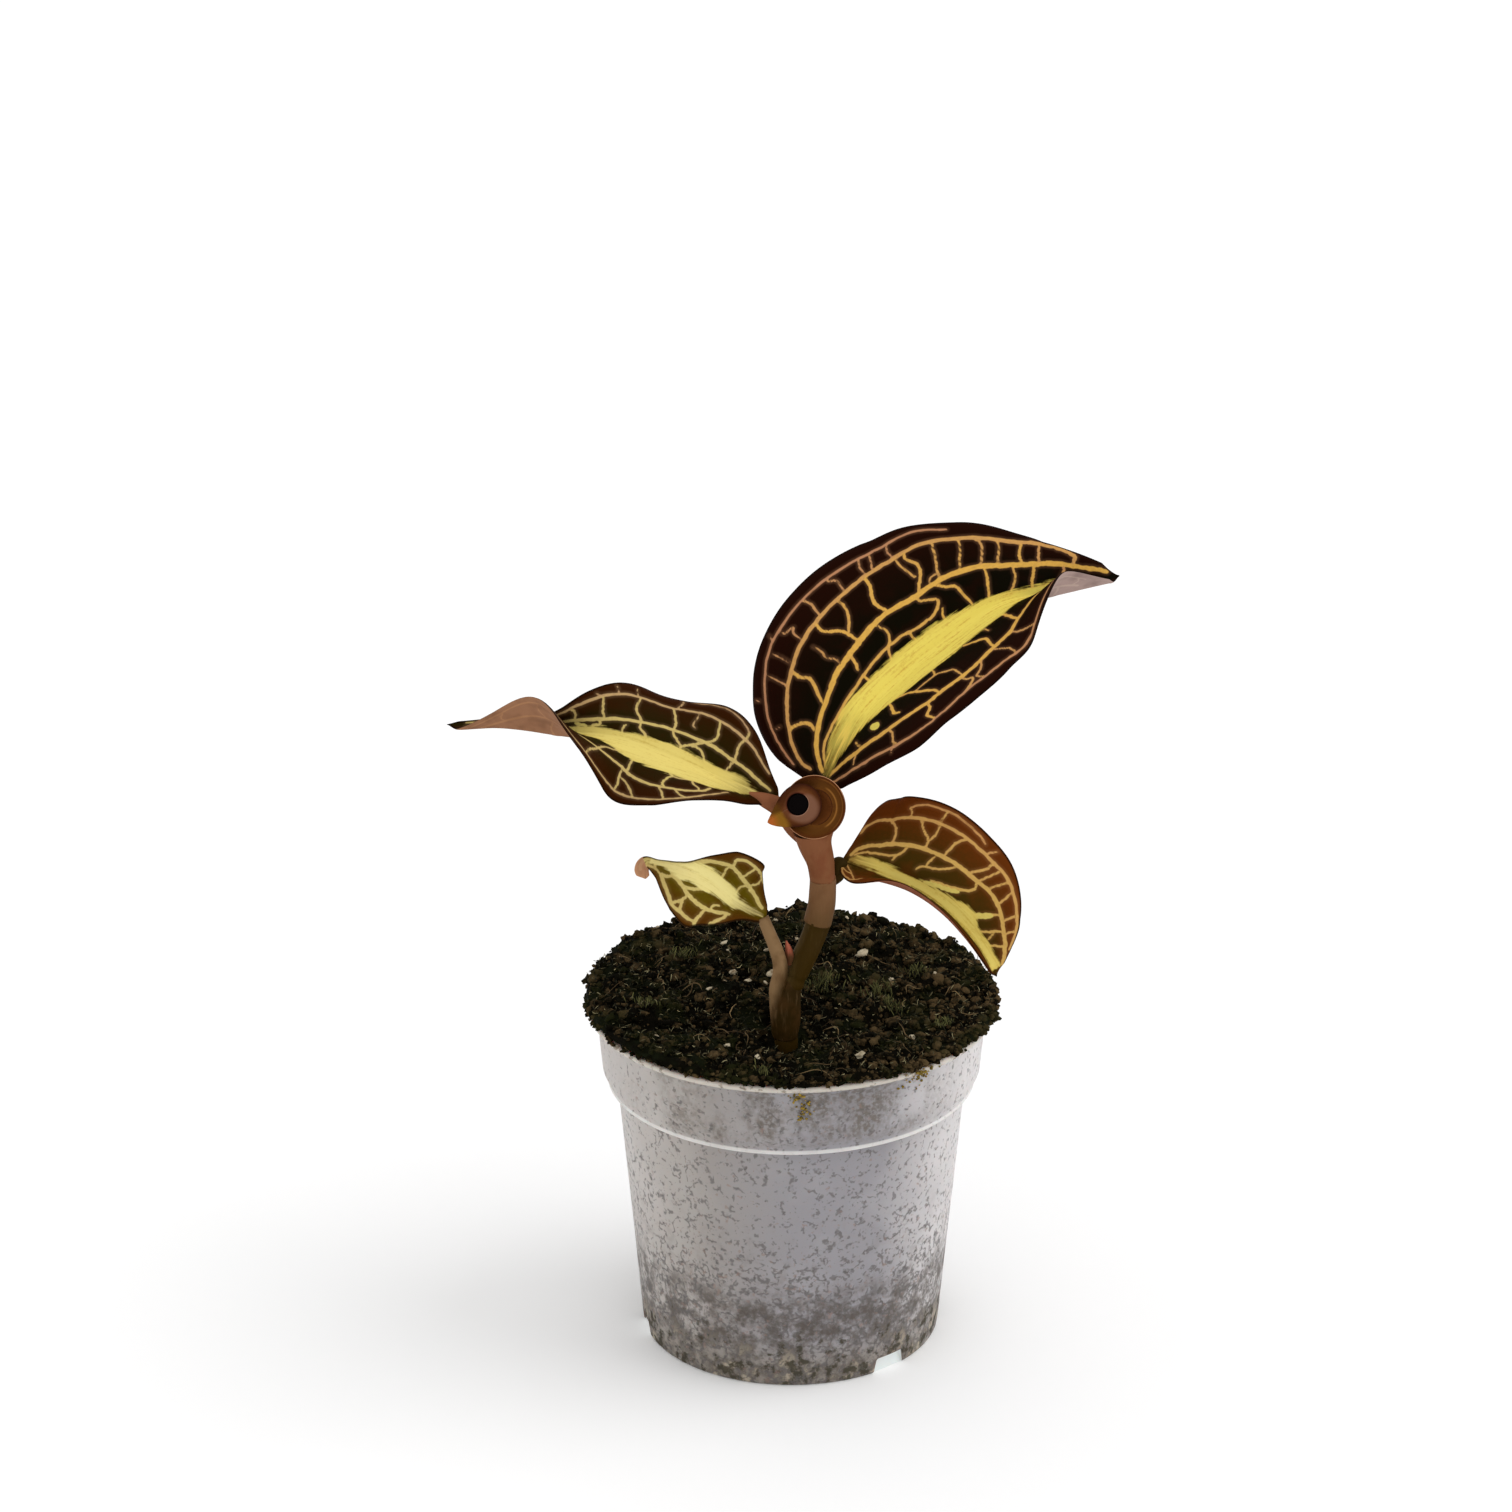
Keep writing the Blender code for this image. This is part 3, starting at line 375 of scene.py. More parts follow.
RIGHT_VEINS = (
    (0.30, 0.2, ((28, 84), (30, 89), (34, 92.5), (39, 93.5), (45, 93.5), (53, 92), (54.5, 90))),
    (0.46, 0.5, ((5, 72), (9, 68), (15, 69), (21, 69.5), (27, 73), (33, 76), (40, 78), (47, 80.5), (55, 82),
                 (60, 83), (65, 87.5), (70, 89.5), (76, 91.5), (82, 93), (90, 90))),
    (0.60, 0.8, ((4, 27), (8, 30), (13, 32.5), (18, 35.5), (25, 40), (31, 43), (38, 45.5), (44, 48),
                 (50, 50.5), (56, 52.5), (61, 54.5), (66, 60), (72, 63), (78, 63.5), (84, 66), (88, 70),
                 (92, 76), (96, 80))),
    (0.34, 0.7, ((6, 20), (12, 23.5), (18, 25), (25, 26.5), (29, 30), (31, 36), (32, 42))),
    (0.32, 0.7, ((38, 21), (40, 27), (45, 32), (49, 40), (51, 47))),
    (0.30, 0.7, ((41, 28), (41.5, 35), (42.5, 43))),
    (0.40, 0.8, ((46, 18), (52, 23), (57, 30), (60.5, 38), (61.5, 46), (60, 54))),
    (0.38, 0.5, ((24.5, 40), (25, 52), (24, 60), (21, 66), (19, 69))),
    (0.36, 0.6, ((38, 45), (37.8, 56), (35.5, 64), (34, 72), (33, 76))),
    (0.34, 0.6, ((38, 55), (39.3, 66), (39, 78), (39.2, 86), (39.5, 93))),
    (0.38, 0.6, ((45.5, 49), (46, 60), (46.8, 70), (49, 80))),
    (0.38, 0.6, ((56, 53), (58, 62), (59.5, 72), (60, 82))),
    (0.34, 0.6, ((60.5, 55), (61.5, 68), (62.5, 80), (63, 86))),
    (0.34, 0.6, ((64.5, 59), (65.5, 72), (66.5, 84), (67, 88))),
    (0.34, 0.6, ((70.8, 62), (70.5, 74), (70, 88))),
    (0.34, 0.6, ((77.5, 64), (77.5, 77), (78, 91))),
    (0.34, 0.6, ((82.5, 66), (82.5, 78), (83, 92))),
    (0.28, 0.5, ((29.5, 75), (29.2, 82), (28, 86))),
    (0.26, 0.3, ((56.5, 83), (57.2, 88), (58.5, 95))),
    (0.40, 0.8, ((74.5, 62), (73, 50), (71.5, 38), (70, 26))),
    (0.40, 0.8, ((81.5, 63), (80, 50), (79, 36), (77, 20))),
    (0.26, 0.8, ((80, 45), (81, 35), (82, 26))),
    (0.40, 0.8, ((87.5, 68), (86.5, 50), (85.5, 38), (85, 25))),
    (0.30, 0.7, ((27, 22), (28.5, 29))),
    (0.80, 2.0, ((44, 12), (49, 17), (54, 22), (58, 28))),
    (0.90, 2.0, ((70, 24), (71.5, 36), (73, 48))),
    (0.22, 0.4, ((1, -20), (2, -60), (4, -86), (9, -88), (13, -80), (16, -66))),
    (0.20, 0.4, ((3, -6), (7, -34), (10, -60), (12, -80))),
    (0.20, 0.4, ((1.5, -44), (6, -52), (9, -52))),
)
LOWER_VEINS = (
    (0.62, 0.8, ((4, 42), (10, 47), (18, 48), (25, 49), (30, 56), (34, 60), (38, 68), (42, 74), (50, 72),
                 (62, 62), (76, 50), (90, 40))),
    (0.42, 0.7, ((10, 96), (13, 92), (19, 86), (25, 84), (30, 86), (32, 78), (31.5, 65), (31, 56))),
    (0.34, 0.7, ((13, 90), (13, 75), (15, 62), (18, 50), (20.5, 40), (21.5, 30), (20, 14))),
    (0.34, 0.7, ((25, 84), (25, 70), (25.5, 50))),
    (0.34, 0.8, ((32.5, 57), (32, 40), (31, 25), (30.5, 10))),
    (0.34, 0.8, ((43, 72), (43, 55), (41.5, 35), (40, 10))),
    (0.60, 0.8, ((18, -64), (21, -62), (26, -62), (33, -58), (39, -52), (44, -47), (48, -38), (53, -31),
                 (55, -25), (57, -14), (66, -10), (80, -8))),
    (0.50, 0.9, ((36, -24), (40, -29), (43, -34), (47, -38))),
    (0.34, 0.8, ((24, -42), (27, -48), (27.5, -60))),
    (0.46, 0.6, ((20, -62), (19.5, -75), (22, -88), (24, -98))),
    (0.46, 0.6, ((30, -61), (31, -72), (32, -82), (33, -92), (31, -98))),
    (0.50, 0.6, ((32, -90), (38, -86), (44, -84), (50, -87), (55, -76), (60, -62), (62, -52), (58, -42),
                 (55, -31))),
    (0.42, 0.6, ((44, -48), (45.5, -62), (48, -74), (50.5, -86))),
    (0.38, 0.6, ((45.5, -61), (45.5, -75), (45, -84))),
    (0.34, 0.5, ((50, 72), (52, 50), (52, 20), (52, 2))),
    (0.34, 0.5, ((62, 62), (63, 30), (62, 0))),
    (0.32, 0.5, ((62, -52), (72, -50), (84, -46))),
    (0.30, 0.5, ((68, -10), (69, -34), (68, -50))),
)

# A band's edges: hundredths along the rib, hundredths across for its far edge and for its near edge.
TOP_BAND = ((3, 6, -2), (6, 10, -5), (10, 12, -8), (15, 13, -13), (20, 13, -19), (25, 12, -24),
            (30, 12, -26), (35, 12, -28), (40, 12, -29), (45, 12, -30), (50, 12, -30), (55, 11, -28),
            (60, 9, -30), (65, 8, -28), (70, 8, -21), (75, 10, -8), (80, 15, 4), (84, 20, 16), (88, 20, 22))
LEFT_BAND = ((5, 11, -4), (10, 16, -30), (15, 17, -50), (18, 13, -58), (22, 9, -56), (25, 10, -50),
             (28, 12, -45), (33, 13, -39), (37, 11, -36), (41, 10, -33), (44, 10, -31), (50, 9, -27),
             (55, 11, -17), (60, 14, -6), (64, 15, 4))
RIGHT_BAND = ((4, 16, 10), (10, 18, 4), (20, 17, 2), (30, 14, 0), (40, 11, -2), (45, 11, -2), (50, 13, -2),
              (60, 18, -2), (65, 25, -3), (70, 27, -3), (75, 18, -4), (80, 21, -5), (85, 28, -8),
              (90, 34, -14), (96, 55, -40))
LOWER_BAND = ((2, 4, -12), (6, 10, -38), (10, 14, -42), (17, 16, -40), (20, 18, -30), (25, 22, -26),
              (30, 25, -25), (35, 32, -27), (40, 45, -24), (45, 70, -20), (50, 95, -25), (55, 100, -22),
              (60, 100, -20), (66, 100, -17), (75, 100, -12))


def unit(vectors):
    return vectors / np.maximum(np.linalg.norm(vectors, axis=-1, keepdims=True), 1e-9)


def spline(points, places):
    """The points at places, 0 to 1, on the smooth curve through evenly spaced points or numbers."""
    points = np.asarray(points, float)
    last = len(points) - 1
    at = np.clip(np.asarray(places, float), 0, 1) * last
    step = np.minimum(at.astype(int), last - 1)
    part = at - step
    if points.ndim > 1:
        part = part[..., None]
    ends = np.concatenate([2 * points[:1] - points[1:2], points, 2 * points[-1:] - points[-2:-1]])
    before, here, there, after = (ends[step + shift] for shift in range(4))
    return 0.5 * (
        2 * here
        + (there - before) * part
        + (2 * before - 5 * here + 4 * there - after) * part ** 2
        + (3 * here - before - 3 * there + after) * part ** 3
    )


def finished(name, bm, finish):
    """Turns a bmesh in millimetres into a smooth, named piece in metres that rides on the pot's body."""
    bmesh.ops.scale(bm, vec=(MM, MM, MM), verts=bm.verts)
    bmesh.ops.recalc_face_normals(bm, faces=bm.faces)
    mesh = bpy.data.meshes.new(name)
    bm.to_mesh(mesh)
    bm.free()
    mesh.shade_smooth()
    mesh.materials.append(finish)
    piece = bpy.data.objects.new(name, mesh)
    bpy.context.scene.collection.objects.link(piece)
    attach(piece, "root")
    return piece


def skin(points, layers=()):
    """A new grid bent onto an array of points, rows by columns; points that meet are welded.

    layers are pairs of a name and an array of three numbers for each point, kept as vertex attributes.
    """
    bm = bmesh.new()
    rows, columns = points.shape[0] - 1, points.shape[1] - 1
    kept = [(bm.verts.layers.float_vector.new(name), values) for name, values in layers]
    made = bmesh.ops.create_grid(bm, x_segments=rows, y_segments=columns, size=0.5)
    for vert in made["verts"]:
        row, column = round((vert.co.x + 0.5) * rows), round((vert.co.y + 0.5) * columns)
        vert.co = points[row, column]
        for layer, values in kept:
            vert[layer] = values[row, column]
    bmesh.ops.remove_doubles(bm, verts=made["verts"], dist=WELD)
    return bm


def capped(rows, first, last):
    """Rows of points, with the one point first before them and the one point last after them."""
    ends = [np.broadcast_to(point, (1, rows.shape[1], 3)) for point in (first, last)]
    return np.concatenate([ends[0], rows, ends[1]])


def headings(points, places):
    """The directions of the smooth curve through points, at places from 0 to 1."""
    ahead, behind = np.minimum(places + 0.001, 1), np.maximum(places - 0.001, 0)
    return unit(spline(points, ahead) - spline(points, behind))


def stations(path, count):
    """Evenly spaced centres, directions and radii along the smooth curve through (place, radius) pairs."""
    steps = np.linspace(0, 1, count + 1)
    places, radii = zip(*path)
    return spline(places, steps), headings(places, steps), spline(radii, steps)


def square_to(along):
    """For each direction, two that are square to it and to each other, the first toward the viewer."""
    right = unit(TOWARD_VIEWER - along * (along @ TOWARD_VIEWER)[:, None])
    return right, np.cross(along, right)


def rings(centres, along, radii, sides):
    """Points of rings about centres, radii wide, with each end closed to a point. Turn 0 is at -Y."""
    right, up = square_to(along)
    turn = np.linspace(0, math.tau, sides + 1)[None, :, None]
    radii = np.broadcast_to(np.asarray(radii, float).reshape(len(centres), -1), (len(centres), sides + 1))
    circle = right[:, None] * np.cos(turn) + up[:, None] * np.sin(turn)
    return capped(centres[:, None] + circle * radii[..., None], centres[0], centres[-1])


class Value:
    """A shader value that can stand in ordinary sums; each sum adds a Math node."""

    def __init__(self, paint, socket):
        self.paint = paint
        self.socket = socket

    def __add__(self, other):
        return self.paint.math("ADD", self, other)

    def __radd__(self, other):
        return self.paint.math("ADD", other, self)

    def __sub__(self, other):
        return self.paint.math("SUBTRACT", self, other)

    def __rsub__(self, other):
        return self.paint.math("SUBTRACT", other, self)

    def __mul__(self, other):
        return self.paint.math("MULTIPLY", self, other)

    def __rmul__(self, other):
        return self.paint.math("MULTIPLY", other, self)

    def __abs__(self):
        return self.paint.math("ABSOLUTE", self)


class Paint:
    """One material in the making, with its Principled shader."""

    def __init__(self, name, **constants):
        self.material = bpy.data.materials.new(name)
        self.material.use_nodes = True
        self.tree = self.material.node_tree
        self.shader = self.tree.nodes["Principled BSDF"]
        for name, value in constants.items():
            self.socket(name).default_value = value

    def socket(self, name):
        """The shader's socket for a Python-style name."""
        return self.shader.inputs[name.replace("_", " ").title().replace("Ior", "IOR")]

    def node(self, kind, settings, sockets, output=0):
        """Adds a node, with its settings set first, and gives its output."""
        made = self.tree.nodes.new(kind)
        for name, value in settings.items():
            if name == "stops":
                self.set_stops(made.color_ramp, value)
            else:
                setattr(made, name, value)
        for name, value in sockets.items():
            if isinstance(value, Value):
                self.tree.links.new(value.socket, made.inputs[name])
            else:
                made.inputs[name].default_value = value
        return Value(self, made.outputs[output])

    def set_stops(self, ramp, stops):
        while len(ramp.elements) < len(stops):
            ramp.elements.new(0.5)
        for element, (place, colour) in zip(ramp.elements, stops):
            element.position = place
            element.color = colour

    def math(self, operation, *values):
        return self.node("ShaderNodeMath", {"operation": operation}, dict(enumerate(values)))

    def parts(self, vector):
        """The three numbers of a vector."""
        return [self.node("ShaderNodeSeparateXYZ", {}, {0: vector}, axis) for axis in range(3)]

    def attribute(self, name, output="Vector"):
        return self.node("ShaderNodeAttribute", {"attribute_name": name}, {}, output)

    def place(self):
        return self.node("ShaderNodeTexCoord", {}, {}, "Object")

    def vector(self, x, y, z):
        return self.node("ShaderNodeCombineXYZ", {}, {0: x, 1: y, 2: z})

    def stretched(self, vector, x, y, z):
        return self.node("ShaderNodeVectorMath", {"operation": "MULTIPLY"}, {0: vector, 1: (x, y, z)})

    def noise(self, vector, scale, detail=3.0, roughness=0.5):
        sockets = {"Vector": vector, "Scale": scale, "Detail": detail, "Roughness": roughness}
        return self.node("ShaderNodeTexNoise", {}, sockets, "Fac")

    def soft(self, value, low, high, scale=1):
        """0 below low, 1 above high, and smooth between. scale is MM where low and high are millimetres."""
        sockets = {"Value": value, "From Min": low * scale, "From Max": high * scale}
        return self.node("ShaderNodeMapRange", {"interpolation_type": "SMOOTHSTEP"}, sockets)

    def fade(self, value, low, high, scale=1):
        """1 below low, 0 above high, and smooth between."""
        return 1 - self.soft(value, low, high, scale)

    def mix(self, factor, low, high):
        return self.node("ShaderNodeMix", {"data_type": "RGBA"}, {0: factor, 6: low, 7: high}, 2)

    def over(self, body, *layers):
        """Lays colours over a body's colour in turn; each layer is how much of it shows, and its colour."""
        for share, shade in layers:
            body = self.mix(share, body, shade)
        return body

    def ramp(self, value, *stops):
        return self.node("ShaderNodeValToRGB", {"stops": stops}, {0: value})

    def set(self, **values):
        """Links values to the shader's sockets."""
        for name, value in values.items():
            self.tree.links.new(value.socket, self.socket(name))

    def bump(self, height, distance, strength=1.0):
        """Height is 0 to 1, and distance what 1 stands for, in millimetres."""
        sockets = {"Height": height, "Distance": distance * MM, "Strength": strength}
        self.set(normal=self.node("ShaderNodeBump", {}, sockets))


def colour(red, green, blue):
    """A colour from 0 to 255 per channel, as a screen shows it, made linear for a shader."""
    channels = [value / 255 for value in (red, green, blue)]
    return (*[c / 12.92 if c <= 0.04045 else ((c + 0.055) / 1.055) ** 2.4 for c in channels], 1.0)


# A leaf's colours: its cells near the rib and near the margin, its veins at tone 1 and at tone 0, its band,
# light and deep, and its underside and the veins there
Colours = namedtuple("Colours", "inner outer gold pink band band_deep under under_vein")

TOP_COLOURS = Colours(
    inner=colour(13, 10, 3), outer=colour(30, 9, 3), gold=colour(230, 178, 82), pink=colour(192, 136, 98),
    band=colour(232, 212, 98), band_deep=colour(196, 150, 62), under=colour(168, 144, 136),
    under_vein=colour(192, 168, 154),
)
LEFT_COLOURS = Colours(
    inner=colour(34, 26, 3), outer=colour(48, 20, 2), gold=colour(212, 190, 112), pink=colour(190, 152, 110),
    band=colour(226, 206, 116), band_deep=colour(198, 170, 82), under=colour(150, 108, 80),
    under_vein=colour(176, 128, 90),
)
RIGHT_COLOURS = Colours(
    inner=colour(62, 44, 8), outer=colour(96, 46, 11), gold=colour(214, 176, 92), pink=colour(206, 148, 92),
    band=colour(222, 200, 104), band_deep=colour(196, 160, 64), under=colour(142, 88, 66),
    under_vein=colour(172, 120, 90),
)
LOWER_COLOURS = Colours(
    inner=colour(92, 76, 8), outer=colour(80, 46, 8), gold=colour(214, 196, 120), pink=colour(196, 166, 104),
    band=colour(238, 224, 150), band_deep=colour(214, 198, 120), under=colour(194, 144, 108),
    under_vein=colour(214, 170, 128),
)


def leaf_finish(name, colours):
    """Velvety cells, a gold vein net and a feathered pale band above; a smoother, paler underside."""
    paint = Paint(name, specular_ior_level=0.01)
    along, across, side = paint.parts(paint.attribute("sheet"))
    vein, tone, band = paint.parts(paint.attribute("net"))
    reach, margin, base = paint.parts(paint.attribute("zone"))
    flat = paint.vector(along, across, side)
    fine = paint.noise(flat, 2.2, 4.0, 0.6) - 0.5
    broad = paint.noise(flat, 0.35, 2.0)
    streaks = paint.noise(paint.stretched(flat, 0.16, 2.4, 1), 1.0, 4.0, 0.6) - 0.5
    grain = paint.noise(flat, 7.0, 2.0)

    edge = vein + fine * 0.14
    on_vein = paint.fade(edge, -0.07, 0.09)
    line = paint.over(
        colours.pink,
        (tone + fine * 0.5, colours.gold),
        (paint.soft(tone, 1.2, 1.8), colours.band),
    )
    on_band = paint.fade(band + streaks * 1.5 + fine * 0.25 + (broad - 0.5) * 1.1, -0.2, 0.3)
    deep = paint.soft(streaks + fine * 0.4, -0.02, 0.26) * 0.75 + paint.fade(abs(band), 0.1, 0.9) * 0.25
    rays = paint.mix(paint.soft(streaks, -0.14, 0.04), colours.gold, colours.outer)
    stripe = paint.over(colours.band, (deep, colours.band_deep), ((1 - base) * 0.9, rays))

    upper = paint.over(
        colours.inner,
        (paint.soft(reach + fine * 0.3, 0.25, 0.95), colours.outer),
        (paint.fade(edge, 0.0, 0.55) * 0.10, colours.pink),
        (paint.soft(broad, 0.45, 0.75) * 0.5, colours.outer),
        (on_vein * (0.86 + fine * 0.4), line),
        (on_band, stripe),
        (paint.fade(margin + fine * 0.1, 0.12, 0.38) * 0.85, colour(16, 8, 4)),
    )
    lower = paint.over(
        colours.under,
        (on_vein * 0.6, colours.under_vein),
        (paint.soft(broad, 0.4, 0.8) * 0.35, colours.outer),
        (on_band * 0.5, colours.under_vein),
    )
    paint.set(base_color=paint.mix(paint.soft(side, -0.2, 0.2), lower, upper))
    paint.set(roughness=0.5 + fine * 0.3 - on_band * 0.06)
    paint.bump(grain * 0.5 + streaks * on_band, 0.05, 0.6)
    return paint.material


def leaf_sheet(leaf, rows, half):
    """The blade's middle surface and the width of each half in every row: points are rows by both halves."""
    at = np.linspace(0, 1, rows + 1)
    centre = spline(leaf.rib, at)
    along = headings(leaf.rib, at)
    azimuth, elevation = (math.radians(angle) for angle in leaf.facing)
    facing = np.array((
        math.sin(azimuth) * math.cos(elevation),
        -math.cos(azimuth) * math.cos(elevation),
        math.sin(elevation),
    ))
    up = unit(facing - along * (along @ facing)[:, None])
    outward = np.cross(along, up) * leaf.turn
    station = at ** (1 / leaf.crowding)
    rounding = np.sqrt(np.clip(at / BASE_ROUNDING, 0.02, 1))
    rounding *= np.clip((1 - at) / TIP_ROUNDING, 0.06, 1) ** 0.8
    middle = (np.arange(half) + 0.5)[None] / half
    sheet = np.empty((rows + 1, 2 * half + 1, 3))
    sheet[:, half] = centre
    widths = np.empty((rows + 1, 2 * half + 1))
    for side, margin in ((1, leaf.far), (-1, leaf.near)):
        sizes, folds = zip(*margin)
        width = np.maximum(spline(sizes, station), 0.2)[:, None] * rounding[:, None]
        fold = np.radians(spline(folds, station))[:, None]
        lean = fold * np.minimum(1, middle * width / KEEL_RADIUS) + math.radians(BLADE_CURL) * (0.5 - middle)
        steps = side * outward[:, None] * np.cos(lean)[..., None] + up[:, None] * np.sin(lean)[..., None]
        walked = centre[:, None] + np.cumsum(steps * width[..., None] / half, axis=1)
        if side > 0:
            sheet[:, half + 1:] = walked
            widths[:, half:] = width
        else:
            sheet[:, :half] = walked[:, ::-1]
            widths[:, :half] = width
    normals = unit(np.cross(np.gradient(sheet, axis=0), np.gradient(sheet, axis=1)))
    if np.sum(normals[:, half] * up) < 0:
        normals = -normals
    return sheet, normals, widths


def on_sheet(sheet, along, across):
    """Points of a sheet at places along it, 0 to 1, and across it, -1 to 1."""
    rows, columns = sheet.shape[0] - 1, sheet.shape[1] - 1
    x = np.clip(along, 0, 1) * rows
    y = (np.clip(across, -1, 1) + 1) / 2 * columns
    row, column = np.minimum(x.astype(int), rows - 1), np.minimum(y.astype(int), columns - 1)
    x, y = (x - row)[:, None], (y - column)[:, None]
    low = sheet[row, column] * (1 - y) + sheet[row, column + 1] * y
    high = sheet[row + 1, column] * (1 - y) + sheet[row + 1, column + 1] * y
    return low * (1 - x) + high * x


def vein_net(sheet, veins, seed, wobble):
    """For every point of a sheet, how far the nearest vein's edge is, negative inside it, and its tone."""
    draw = random.Random(seed)
    flat = sheet.reshape(-1, 3)
    nearest = np.full(len(flat), 99.0)
    tones = np.zeros(len(flat))
    for width, tone, points in veins:
        count = 5 * (len(points) - 1)
        path = spline(np.array(points) / 100, np.linspace(0, 1, count + 1))
        path = on_sheet(sheet, path[:, 0], path[:, 1])
        shift = np.array([[draw.uniform(-1, 1) for _ in range(3)] for _ in range(count + 1)]) * wobble
        shift[[0, -1]] = 0
        path += shift
        taper = 1 - 0.3 * np.abs(np.linspace(-1, 1, count + 1)) ** 4
        swell = np.array([draw.uniform(0.82, 1.12) for _ in range(count + 1)])
        radii = width / 2 * swell * taper
        for start, end, here, there in zip(path[:-1], path[1:], radii[:-1], radii[1:]):
            run = end - start
            part = np.clip((flat - start) @ run / max(run @ run, 1e-9), 0, 1)
            away = np.linalg.norm(flat - start - part[:, None] * run, axis=1)
            away -= here + part * (there - here)
            closer = away < nearest
            nearest[closer] = away[closer]
            tones[closer] = tone
    return nearest.reshape(sheet.shape[:2]), tones.reshape(sheet.shape[:2])


def make_blade(name, leaf, veins, band, finish, detail):
    """A leaf blade: one closed skin over both faces, with its veins sunk a little between swollen cells.

    detail is how many faces it has along the rib, and across each half.
    """
    look = bpy.context.scene.orchid_leaves
    rows, half = detail
    sheet, normals, widths = leaf_sheet(leaf, rows, half)
    across = np.linspace(-1, 1, 2 * half + 1)[None] * np.ones((rows + 1, 1))
    at = np.linspace(0, 1, rows + 1)[:, None] * np.ones((1, 2 * half + 1))
    in_mm = np.concatenate([[0], np.cumsum(np.linalg.norm(np.diff(sheet[:, half], axis=0), axis=1))])
    margin = (1 - np.abs(across)) * widths
    vein, tone = vein_net(sheet, veins, len(veins), look.vein_wobble)
    edges = np.array(band, float) / 100
    far_edge, near_edge = (np.interp(at[:, 0], edges[:, 0], edges[:, column])[:, None] for column in (1, 2))
    beyond = np.maximum(edges[0, 0] - at, at - edges[-1, 0]) * 60
    outside = np.maximum(np.maximum(across - far_edge, near_edge - across) * widths, beyond)

    swell = np.clip(np.minimum(vein, outside) / CELL_SLOPE, 0, 1)
    swell = swell * swell * (3 - 2 * swell)
    relief = look.cell_swell * swell * np.clip(margin / MARGIN_SLOPE, 0, 1)
    body = look.thickness / 2 * np.sqrt(1 - np.abs(across) ** 14)
    body *= np.sqrt(np.clip(margin / EDGE_SLOPE, 0, 1))
    keel = look.keel * np.exp(-(across * widths / KEEL_WIDTH) ** 2) * np.sqrt(1 - at)
    above = sheet + normals * (body + relief)[..., None]
    below = sheet - normals * (body + keel)[..., None] + normals * (relief * RELIEF_BELOW)[..., None]
    loop = np.concatenate([above, below[:, -2::-1]], axis=1)
    loop[:, 0] = sheet[:, 0]
    loop[:, 2 * half] = sheet[:, -1]
    loop[:, -1] = sheet[:, 0]

    def wrapped(*layers):
        values = np.stack(np.broadcast_arrays(*layers), axis=-1)
        around = np.concatenate([values, values[:, -2::-1]], axis=1)
        return np.concatenate([around[:1], around, around[-1:]])

    side = np.ones((rows + 3, 4 * half + 1))
    side[:, 2 * half + 1:] = -1
    side[int(leaf.bare_tip * rows) + 3:] = -1
    side[:, [0, 2 * half, -1]] = 0
    sheet_layer = wrapped(in_mm[:, None], across * widths, np.zeros_like(at))
    sheet_layer[..., 2] = side
    net_layer = wrapped(vein, tone, outside)
    zone_layer = wrapped(np.abs(across), margin, np.clip(at / look.base_blush, 0, 1))
    layers = (("sheet", sheet_layer), ("net", net_layer), ("zone", zone_layer))
    return finished(name, skin(capped(loop, sheet[0, half], sheet[-1, half]), layers), finish)


def stalk_finish(name, low_height, high_height, low, high, blush, slant=0.0):
    """Fleshy skin that goes from one colour to another with height, with faint streaks and a satin gloss.

    slant is how many millimetres of height one millimetre to the left counts for.
    """
    paint = Paint(name, specular_ior_level=0.03)
    place = paint.place()
    east, _, up = paint.parts(place)
    streaks = paint.noise(paint.stretched(place, 1, 1, 0.12), 2400, 3.0, 0.6) - 0.5
    blotches = paint.noise(place, 420, 3.0)
    height = up - east * slant
    body = paint.over(
        low,
        (paint.soft(height + streaks * 0.002, low_height, high_height, MM), high),
        (paint.soft(blotches, 0.42, 0.72) * 0.45, blush),
        (paint.soft(streaks, 0.02, 0.3) * 0.3, high),
    )
    paint.set(base_color=body, roughness=0.55 + streaks * 0.3)
    paint.bump(streaks, 0.05, 0.5)
    return paint.material


def make_tube(name, path, finish, count, sides, swollen=None):
    """A closed, smooth tube along (place, radius) pairs; swollen changes the radii by height and turn."""
    centres, along, radii = stations(path, count)
    radii = np.repeat(radii[:, None], sides + 1, axis=1)
    if swollen:
        turn = np.linspace(0, math.tau, sides + 1)[None]
        radii = radii + swollen(centres[:, 2:], turn)
    return finished(name, skin(rings(centres, along, radii, sides)), finish)


def stem_swelling(height, turn):
    """Ring-shaped nodes on the stem, and slight lengthwise furrows."""
    swelling = 0.05 * np.sin(3 * turn + height * 0.3) + 0.03 * np.sin(7 * turn - height * 0.2)
    for node in STEM_NODES:
        swelling = swelling + 0.16 * np.exp(-((height - node) / 0.55) ** 2)
        swelling = swelling - 0.10 * np.exp(-((height - node - 0.9) / 0.35) ** 2)
    return swelling


